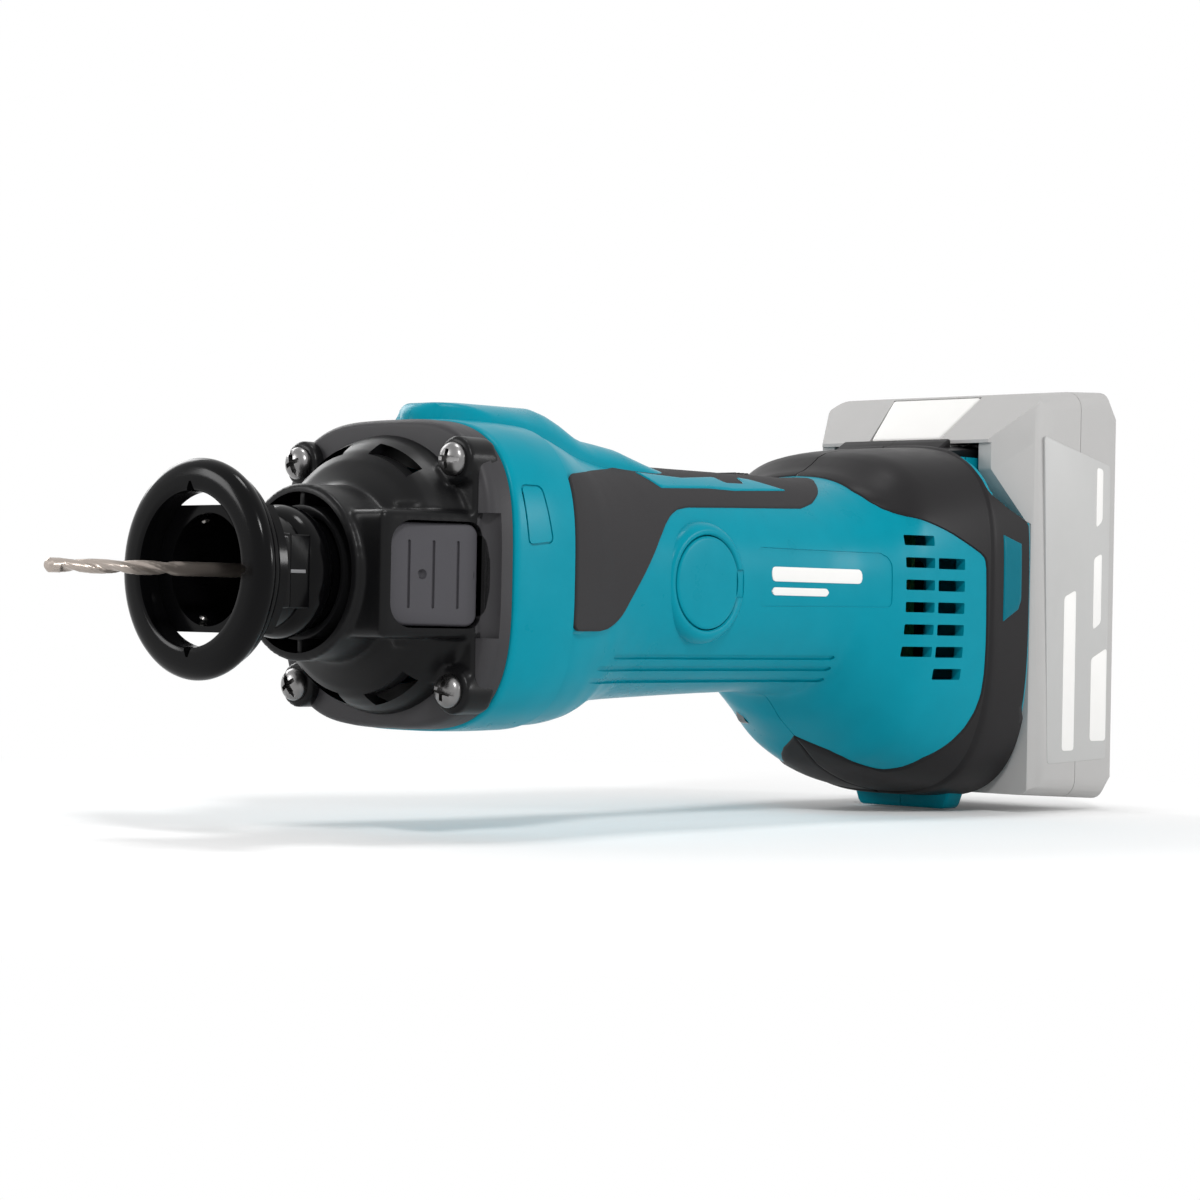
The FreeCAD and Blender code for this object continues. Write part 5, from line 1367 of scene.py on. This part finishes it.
# ---------------------------------------------------------------------------
# Shoe, clamp and cutter
# ---------------------------------------------------------------------------
@dataclass(frozen=True)
class Shoe:
    """The ring shoe, its cup and stem, the rivets and the depth mark."""

    hole: float = 17.2
    notch: float = 2.2
    bore: float = 12.6
    arm_half: float = 8.25

    def build(self) -> None:
        """Build and dress the ring, the stem and the rivets."""
        ring = spun([(0.9, 17.2), (0.3, 17.4), (0.05, 17.9), (0.0, 18.8), (0.02, 20.4),
                     (0.12, 21.6), (0.42, 22.8),
                     (0.95, 23.7), (1.7, 24.3), (2.6, 24.58), (3.4, 24.56), (4.1, 24.35),
                     (4.7, 24.0),
                     (5.1, 23.5), (5.3, 22.95), (6.3, 22.9), (7.0, 22.7), (7.4, 22.2), (7.4, 20.4),
                     (6.9, 20.1),
                     (6.3, 19.9), (6.3, 18.6), (5.9, 18.2), (5.5, 18.0), (5.5, 17.2)], 144,
                     ring=True)
        thing = placed(ring, "shoe_ring_turned")
        notches = []
        for turn in (0, 90, 180, 270):
            cut = prism([(-1.7, self.hole - 0.6), (1.7, self.hole - 0.6),
                         (0.35, self.hole + self.notch),
                         (-0.35, self.hole + self.notch)], Way.X, -1, 20)
            notches.append(turned(cut, turn))
        carved(thing, joined(*notches))
        dressed(thing, SHOE, "shoe", "shoe_gloss", "shoe_ring", sharp=45)
        self.stem()

    def stem(self) -> None:
        """Build the cup, arms and stem, with a groove for the depth mark."""
        cup = spun([(6.1, self.bore + 0.8), (8.2, self.bore + 0.8), (8.2, self.bore),
                    (27.5, self.bore), (29.0, 11.5),
                    (45.0, 11.5), (45.0, 13.0), (31.2, 13.0), (30.9, 13.15), (30.5, 13.6),
                    (29.9, 14.2), (29.0, 14.7),
                    (27.9, 15.05), (26.6, 15.2), (25.2, 15.1), (24.0, 14.75), (23.1, 14.2),
                    (22.6, 13.7), (22.4, 13.3),
                    (6.1, 13.3)], 112, ring=True)
        plate = placed(spun([(5.6, self.bore), (5.6, 21.6), (6.2, 22.2), (9.6, 22.2), (10.0, 21.8),
                             (10.0, self.bore)],
                            112, ring=True), "plate")
        carved(plate, block((0, -30, -13.9), (20, 30, 14.3)), "INTERSECT")
        flat = bmesh.new()
        flat.from_mesh(plate.data)
        bmesh.ops.scale(flat, vec=(1 / MM, 1 / MM, 1 / MM), verts=flat.verts)
        bpy.data.objects.remove(plate)
        parts = [cup, flat]
        for side in Side:
            ys = sorted((side.value * 12.9, side.value * 14.9))
            parts.append(block((5.7, ys[0], -self.arm_half), (22.6, ys[1], self.arm_half), 0.45,
                               None, 3))
            ys = sorted((side.value * 12.9, side.value * 20.6))
            parts.append(block((6.9, ys[0], -self.arm_half), (12.3, ys[1], self.arm_half), 0.8,
                               None, 3))
        thing = placed(joined(*parts), "shoe_stem_moulded")
        carved(thing, block((7.8, -15.3, -0.42), (21.3, -14.75, 0.42)), crossed=True)
        line = block((7.9, -14.93, -0.38), (21.2, -14.6, 0.38), 0.06, None, 2)
        dressed(placed(line, "depth_mark"), MARK, "shoe", "mark_grey", "index_line")
        dressed(thing, SHOE, "shoe", "shoe_gloss", "shoe_stem", sharp=40)
        rivets = []
        for turn in (31, 149, 211, 329):
            rivet = spun([(0, 0), (0.1, 0.6), (0.5, 1.05), (1.0, 1.1), (2.2, 1.1), (2.2, 0)], 32)
            turned(rivet, -90, "Y")
            bmesh.ops.translate(rivet, vec=(10.0, 0, self.bore - 0.6), verts=rivet.verts)
            turned(rivet, turn)
            rivets.append(rivet)
        dressed(placed(joined(*rivets), "shoe_rivets_domed"), STEEL, "shoe", "steel", "shoe_rivets")


@dataclass(frozen=True)
class DepthClamp:
    """The lever that clamps the shoe's stem."""

    x: float = 38.7
    y: float = 23.8
    half: float = 4.5

    def build(self) -> None:
        """Build and dress the lever with its ribbed thumb end."""
        arm = prism(rounded([(-1.0, 0.0), (11.5, 0.0), (11.5, 3.0), (-1.0, 3.0)], 1.2), Way.Z,
                    -self.half, self.half)
        parts = [soften(arm, 0.4, 3, 50)]
        for x in (6.5, 8.0, 9.5):
            parts.append(block((x - 0.35, 2.8, -3.6), (x + 0.35, 3.35, 3.6), 0.2, None, 2))
        lever = joined(*parts)
        turned(lever, 40, "Z")
        hub = spun([(-self.half, 1.55), (-self.half, 3.0), (self.half, 3.0), (self.half, 1.55)],
                   48, ring=True)
        soften(hub, 0.35, 3, 50)
        turned(hub, 90, "Y")
        lever = joined(lever, hub)
        bmesh.ops.translate(lever, vec=(self.x, self.y, 0), verts=lever.verts)
        dressed(placed(lever, "clamp_lever_ribbed"), NOSE, "depth_clamp", "nose_black",
                "clamp_lever")


@dataclass(frozen=True)
class Cutter:
    """The spiral bit and the collet nut that holds it."""

    radius: float = 1.59
    tip: float = -38.5
    flute_end: float = -5.0
    seat: float = 35.0
    twist: float = 25.0
    nut_front: float = 21.0
    nut_length: float = 17.0
    flats: float = 15.6

    def build(self) -> None:
        """Build and dress the bit and the nut."""
        self.bit()
        self.nut()

    def bit(self) -> None:
        """Build the bit: a pointed tip, two spiral flutes and a plain shank."""
        xs = [self.tip, self.tip + 0.05, self.tip + 0.4, self.tip + 0.8]
        xs += spread(self.tip + 1.2, self.flute_end + 3.0, 0.32)
        xs += spread(self.flute_end + 4.0, self.seat, 2.6)
        around = 60
        shell = bmesh.new()
        bmesh.ops.create_grid(shell, x_segments=len(xs) - 1, y_segments=around, size=0.5)
        for vert in shell.verts:
            x = xs[round((vert.co.x + 0.5) * (len(xs) - 1))]
            turn = TURN * (round((vert.co.y + 0.5) * around) % around) / around
            phase = 2 * (turn - TURN * x / self.twist)
            away = abs((phase + math.pi) % TURN - math.pi)
            depth = 0.7 * min(max((self.flute_end + 3.0 - x) / 5.0, 0.0), 1.0)
            depth *= min(max((x - self.tip - 2.6) / 1.6, 0.0), 1.0)
            groove = math.exp(-((away / 1.15) ** 4))
            reach = self.radius - depth * groove - (0.1 if 1.35 < away < 2.3 and depth > 0.4 else 0.0)
            reach *= min(0.55 + 0.45 * (x - self.tip) / 0.8, 1.0) * min((x - self.tip) / 0.05, 1.0)
            vert.co = (x, reach * math.cos(turn), reach * math.sin(turn))
        bmesh.ops.remove_doubles(shell, verts=shell.verts, dist=0.0005)
        rim = [edge for edge in shell.edges if edge.is_boundary]
        bmesh.ops.holes_fill(shell, edges=rim)
        dressed(placed(shell, "spiral_bit"), BIT, "rotor", "bit_steel", "cutting_bit", sharp=40)

    def nut(self) -> None:
        """Build the chamfered hexagon nut."""
        corners = [(self.flats / math.sqrt(3) * math.cos(math.radians(60 * k)),
                    self.flats / math.sqrt(3) * math.sin(math.radians(60 * k))) for k in range(6)]
        nut = prism(corners, Way.X, self.nut_front, self.nut_front + self.nut_length)
        soften(nut, 0.35, 3, 40, lambda mid: abs(mid.x - self.nut_front - self.nut_length / 2) < 1)
        thing = placed(nut, "collet_nut_hex")
        front, rear = self.nut_front, self.nut_front + self.nut_length
        carved(thing, spun([(front - 1, 0), (front, 6.3), (front + 1.4, 7.6), (front + 3.4, 8.8),
                            (front + 4, 9.2),
                            (rear + 1, 9.2), (rear + 1, 0)], 96), "INTERSECT")
        bore = [(front - 1, 0), (front - 1, 3.5), (front + 0.6, 3.1), (front + 1.2, 3.1),
                (23.5, 4.1), (23.3, 6.25), (rear + 1, 6.25), (rear + 1, 0)]
        carved(thing, spun(bore, 72))
        dressed(thing, STEEL, "rotor", "steel", "collet_nut", sharp=30)


@dataclass(frozen=True)
class SideFittings:
    """The brush covers on the sides and the slide switch's knob."""

    x: float = 139.0
    radius: float = 11.5
    face: float = 30.4
    inner: float = 26.4

    def build(self) -> None:
        """Build and dress the covers and the knob."""
        for side in Side:
            self.cover(side)
        self.knob()

    def cover(self, side: Side) -> None:
        """Build a round cover with a coin notch at its rear edge."""
        profile = [(self.inner, 0), (self.inner, self.radius), (self.face - 0.7, self.radius),
                   (self.face - 0.25, self.radius - 0.12), (self.face - 0.05, self.radius - 0.45),
                   (self.face, self.radius - 1.0), (self.face + 0.12, 6.0), (self.face + 0.15, 0)]
        thing = placed(outward(spun(profile, 128), side, self.x), f"brush_cover_{side.word}")
        ys = sorted((side.value * (self.face - 1.1), side.value * (self.face + 2)))
        carved(thing, block((self.x + 10.5, ys[0], -3.4), (self.x + 14, ys[1], 3.4), 0.7, Way.Y, 3))
        dressed(thing, TEAL, "housing", "housing_teal", f"cap_cover_{side.word}", sharp=38)

    def knob(self) -> None:
        """Build the low ribbed knob."""
        parts = [block((176.0, -6.0, 27.45), (185.0, 6.0, 28.9), 0.6, None, 3)]
        for x in (178.0, 179.6, 181.2, 182.8):
            parts.append(block((x, -4.6, 28.5), (x + 0.8, 4.6, 29.35), 0.25, None, 2))
        dressed(placed(joined(*parts), "switch_knob_ribbed"), NOSE, "switch_slide", "nose_black",
                "switch_knob")


# ---------------------------------------------------------------------------
# Battery
# ---------------------------------------------------------------------------
@dataclass(frozen=True)
class Battery:
    """The slide-on pack: case, cover, label fields and latch."""

    outline: tuple[Point, ...] = (
        (265.8, -55.5), (302.0, -57.4), (307.0, -52.0), (307.0, 50.0), (302.0, 57.0),
        (285.8, 56.2), (270.8, 54.8), (254.8, 41.5), (254.8, 40.6), (265.8, 40.6))
    half: float = 37.5
    parting: float = 286.4
    bars: tuple[tuple[Point, ...], ...] = (
        ((279.6, -1.0), (285.2, 1.0), (285.2, -43.5), (279.6, -43.5)),
        ((293.0, -18.0), (300.6, -15.0), (300.6, -41.0), (293.0, -41.0)),
        ((293.6, 10.0), (297.4, 11.5), (297.4, -8.0), (293.6, -10.0)),
        ((294.4, 35.5), (297.4, 35.0), (297.4, 20.5), (294.4, 18.5)))
    latch_low: float = 0.03
    latch_high: float = 0.95

    def build(self) -> None:
        """Build and dress the pack."""
        for name, node, behind in (("pack_case", "battery_case", False),
                                   ("pack_cover", "battery_cover", True)):
            shell = self.body()
            cut = self.parting + (0.12 if behind else -0.12)
            bmesh.ops.bisect_plane(shell, geom=shell.verts[:] + shell.edges[:] + shell.faces[:],
                                   plane_co=(cut, 0, 0), plane_no=(1, 0, 0), dist=1e-4,
                                   clear_outer=not behind, clear_inner=behind)
            rim = [edge for edge in shell.edges if edge.is_boundary]
            bmesh.ops.holes_fill(shell, edges=rim)
            thing = placed(shell, name)
            for side in Side:
                carved(thing, self.corner(side))
            carved(thing, block((268.4, -33.5, -53.0), (304.0, 33.5, 52.0), 1.5))
            if not behind:
                self.rail(thing)
            dressed(thing, PACK, "battery", "battery_grey", node, sharp=30)
        self.labels()
        self.latch()

    def body(self) -> Mesh:
        """Build the pack's outside."""
        shell = prism(self.outline, Way.Y, -self.half, self.half)
        soften(shell, 5.0, 7, 50, lambda mid: abs(abs(mid.y) - self.half) < 0.1 and mid.x > 268)
        soften(shell, 1.2, 3, 30, lambda mid: mid.x > 268)
        return shell

    def rail(self, thing: bpy.types.Object) -> None:
        """Cut the latch bed and join the rail block with its grooves and contact slots."""
        for side in Side:
            skirt = prism([(255.6, 33.4), (255.6, 41.0), (267.0, 41.0), (267.0, 18.0),
                           (264.4, 19.5)], Way.Y,
                          *sorted((side.value * 25.0, side.value * 37.4)))
            lip = placed(soften(skirt, 0.5, 3, 30), "skirt")
            welded(thing, carved(lip, self.corner(side)))
        carved(thing, self.bed(), crossed=True)
        rail = placed(block((252.6, -16, -39.5), (266.0, 16, 40.7), 0.8, None, 3), "rail")
        cuts = []
        for side in Side:
            ys = sorted((side.value * 13.8, side.value * 20))
            cuts.append(block((258.2, ys[0], -60), (261.4, ys[1], 60)))
        for y in (-9, -3, 3, 9):
            cuts.append(block((250, y - 0.9, -45), (258.7, y + 0.9, 4)))
        welded(thing, carved(rail, joined(*cuts)))

    def corner(self, side: Side) -> Mesh:
        """Build the cutter that narrows the pack towards its front edge."""
        sign = side.value
        outline = [(250.0, 26.0 * sign), (266.4, 36.3 * sign), (272.5, 37.55 * sign),
                   (272.5, 45.0 * sign),
                   (250.0, 45.0 * sign)]
        return prism(outline, Way.Z, -62, 62)

    def bed(self) -> Mesh:
        """Build the cutter for the latch's bed, wider at the top of the slope."""
        return self.tapered(self.latch_low - 0.015, self.latch_high + 0.015, -6.0, 4.2, 0.25)

    def tapered(self, low: float, high: float, out: float, depth: float, spare: float) -> Mesh:
        """Block on the slope whose sides spread from the lower edge to the upper one."""
        shell = self.on_slope(low, high, out, depth, 1.0)
        for vert in shell.verts:
            share = (vert.co.x - 254.8) / 16.0
            vert.co.y *= 11.6 + 4.0 * min(max(share, 0.0), 1.0) + spare
        return shell

    def slope(self, share: float, depth: float) -> Point:
        """Point (x, z) on the pack's sloping nose, at a depth into it."""
        run, rise = 16.0, 13.3
        length = math.hypot(run, rise)
        return (254.8 + run * share + depth * rise / length,
                41.5 + rise * share - depth * run / length)

    def on_slope(self, low: float, high: float, out: float, depth: float, half: float) -> Mesh:
        """Block that lies on the slope between two shares of it."""
        return prism([self.slope(low, out), self.slope(high, out), self.slope(high, depth),
                      self.slope(low, depth)],
                     Way.Y, -half, half)

    def latch(self) -> None:
        """Build the latch: its thumb panel, grip ridges, stem and hook."""
        panel = soften(self.tapered(self.latch_low, self.latch_high, -0.35, 3.0, 0.0), 0.9, 4, 50)
        parts = [panel]
        stem = self.slope(0.14, 3.0)[0] + 1.0
        parts.append(block((stem, -4, 28), (stem + 3.0, 4, 44), 0.3, None, 2))
        parts.append(block((252.8, -4, 28), (stem + 0.5, 4, 33), 0.3, None, 2))
        dressed(placed(joined(*parts), "latch_panel"), WHITE, "latch", "latch_white",
                "battery_latch")

    def labels(self) -> None:
        """Build the label field and two plain bars on each side of the pack."""
        for side in Side:
            def plate(outline: Sequence[Point], lift: float) -> Mesh:
                """Thin plate on this side of the pack."""
                ys = sorted((side.value * (self.half - 0.5), side.value * (self.half + lift)))
                return soften(prism(rounded(outline, 1.2, 4), Way.Y, *ys), 0.08, 2, 60)

            field = plate([(269.2, 43.0), (301.0, 36.0), (301.0, -46.0), (273.0, -47.0)], 0.15)
            dressed(placed(field, f"label_field_{side.word}"), LABEL, "battery", "battery_grey")
            bars = joined(*[plate(outline, 0.28) for outline in self.bars])
            dressed(placed(bars, f"label_bars_{side.word}"), WHITE, "battery", "latch_white")


# ---------------------------------------------------------------------------
# Studio
# ---------------------------------------------------------------------------
@dataclass(frozen=True)
class Studio:
    """The camera, the lamps, the white surround and the floor."""

    azimuth: float = -46.82
    elevation: float = -0.28
    roll: float = 1.08
    target: tuple[float, float, float] = (132.52, 0.0, -4.65)
    distance: float = 794.92
    lens: float = 95.25
    floor_z: float = -60.6
    fill: float = 0.42
    lamps: tuple[tuple[tuple[float, float, float], float, float], ...] = (
        ((-0.50, -0.85, 0.80), 0.20, 7.5), ((0.80, -0.85, 0.25), 0.20, 3.4),
        ((0.15, 0.0, 1.25), 0.30, 4.6),
        ((0.3, 1.05, 0.55), 0.6, 5.0), ((-0.85, 0.75, 0.40), 0.35, 4.0))

    def build(self) -> None:
        """Set up everything round the object."""
        scene = bpy.context.scene
        scene.view_settings.view_transform = "Standard"
        self.camera()
        self.surround()
        self.floor()
        centre = Vector((0.13, 0.0, 0.0))
        for index, (spot, size, power) in enumerate(self.lamps):
            light = bpy.data.lights.new(f"lamp_{index}", "AREA")
            light.size, light.energy = size, power
            lamp = bpy.data.objects.new(f"lamp_{index}", light)
            lamp.location = Vector(spot)
            lamp.rotation_mode = "QUATERNION"
            lamp.rotation_quaternion = (centre - lamp.location).to_track_quat("-Z", "Y")
            scene.collection.objects.link(lamp)

    def camera(self) -> None:
        """Place the camera with its small roll."""
        a, e, r = (math.radians(v) for v in (self.azimuth, self.elevation, self.roll))
        back = Vector((math.sin(a) * math.cos(e), -math.cos(a) * math.cos(e), math.sin(e)))
        right = Vector((0, 0, 1)).cross(back).normalized()
        up = back.cross(right)
        tilted = right * math.cos(r) + up * math.sin(r)
        upward = up * math.cos(r) - right * math.sin(r)
        data = bpy.data.cameras.new("camera")
        data.lens, data.sensor_width = self.lens, 36.0
        data.clip_start, data.clip_end = 0.02, 30.0
        camera = bpy.data.objects.new("camera", data)
        place = Matrix((tilted, upward, back)).transposed().to_4x4()
        place.translation = (Vector(self.target) + back * self.distance) * MM
        camera.matrix_world = place
        bpy.context.scene.collection.objects.link(camera)
        bpy.context.scene.camera = camera

    def surround(self) -> None:
        """Light the scene evenly and show plain white behind it."""
        world = bpy.data.worlds.new("surround")
        bpy.context.scene.world = world
        world.use_nodes = True
        nodes, links = world.node_tree.nodes, world.node_tree.links
        shade = next(n for n in nodes if n.type == "BACKGROUND")
        shade.inputs["Color"].default_value = (1, 1, 1, 1)
        links.new(self.seen(nodes, links, self.fill), shade.inputs["Strength"])

    def seen(self, nodes: bpy.types.Nodes, links: bpy.types.NodeLinks,
             low: float) -> bpy.types.NodeSocket:
        """Value of 1 to the camera and in reflections, and low for other light."""
        path = nodes.new("ShaderNodeLightPath")
        both, total = nodes.new("ShaderNodeMath"), nodes.new("ShaderNodeMath")
        for step in (both, total):
            step.operation, step.use_clamp = "ADD", True
        links.new(path.outputs["Is Camera Ray"], both.inputs[0])
        links.new(path.outputs["Is Glossy Ray"], both.inputs[1])
        links.new(both.outputs[0], total.inputs[0])
        links.new(path.outputs["Is Transmission Ray"], total.inputs[1])
        level = nodes.new("ShaderNodeMapRange")
        level.inputs["To Min"].default_value = low
        links.new(total.outputs[0], level.inputs["Value"])
        return level.outputs[0]

    def floor(self) -> None:
        """Lay a pale floor that takes the shadow near the object and fades to white."""
        disc = bmesh.new()
        bmesh.ops.create_circle(disc, cap_ends=True, segments=96, radius=6.0)
        bmesh.ops.translate(disc, vec=(0.13, 0, self.floor_z * MM), verts=disc.verts)
        mesh = bpy.data.meshes.new("floor")
        disc.to_mesh(mesh)
        disc.free()
        floor = bpy.data.objects.new("floor", mesh)
        bpy.context.scene.collection.objects.link(floor)
        pale = bpy.data.materials.new("pale_floor")
        pale.use_nodes = True
        nodes, links = pale.node_tree.nodes, pale.node_tree.links
        nodes.clear()
        matt, white = nodes.new("ShaderNodeBsdfDiffuse"), nodes.new("ShaderNodeEmission")
        matt.inputs["Color"].default_value = (0.9, 0.9, 0.9, 1)
        white.inputs["Strength"].default_value = 1.0
        place = nodes.new("ShaderNodeTexCoord")
        shift, far = nodes.new("ShaderNodeVectorMath"), nodes.new("ShaderNodeVectorMath")
        shift.operation, far.operation = "SUBTRACT", "LENGTH"
        shift.inputs[1].default_value = (0.13, 0, self.floor_z * MM)
        links.new(place.outputs["Object"], shift.inputs[0])
        links.new(shift.outputs[0], far.inputs[0])
        fade = nodes.new("ShaderNodeMapRange")
        fade.interpolation_type = "SMOOTHSTEP"
        fade.inputs["From Min"].default_value, fade.inputs["From Max"].default_value = 0.1, 0.34
        links.new(far.outputs["Value"], fade.inputs["Value"])
        share = nodes.new("ShaderNodeMath")
        share.operation = "MULTIPLY"
        links.new(fade.outputs[0], share.inputs[0])
        links.new(self.seen(nodes, links, 0.0), share.inputs[1])
        mix, out = nodes.new("ShaderNodeMixShader"), nodes.new("ShaderNodeOutputMaterial")
        links.new(share.outputs[0], mix.inputs[0])
        links.new(matt.outputs[0], mix.inputs[1])
        links.new(white.outputs[0], mix.inputs[2])
        links.new(mix.outputs[0], out.inputs[0])
        mesh.materials.append(pale)
        floor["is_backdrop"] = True


def dress_frame(frame: dict) -> None:
    """Give every frame node that stays in view its slot's finish."""
    slots = {part["node"]: part["material_slot"] for part in frame["record"]["subparts"]}
    for name, thing in frame["nodes"].items():
        if not thing.hide_render:
            thing.data.materials.clear()
            thing.data.materials.append(SLOT_FINISH[slots[name]].material())


def corners(bounds: tuple[Vector, Vector]) -> list[list[float]]:
    """Turn a box's corners into plain lists of numbers."""
    return [[round(float(v), 6) for v in corner] for corner in bounds]


def main() -> None:
    """Build the object round its frame and the studio round the object."""
    logging.basicConfig(level=logging.INFO, format="%(name)s %(message)s")
    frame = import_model()
    cad_box = corners(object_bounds())
    Studio().build()
    housing, skins = Housing(), Overmould()
    for side in Side:
        housing.build(side)
        skins.build(side)
    Nose().build()
    ShaftLock().build()
    Shoe().build()
    DepthClamp().build()
    Cutter().build()
    SideFittings().build()
    Battery().build()
    dress_frame(frame)
    {"cad": cad_box, "visual": corners(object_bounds())}


if __name__ == "__main__":
    main()
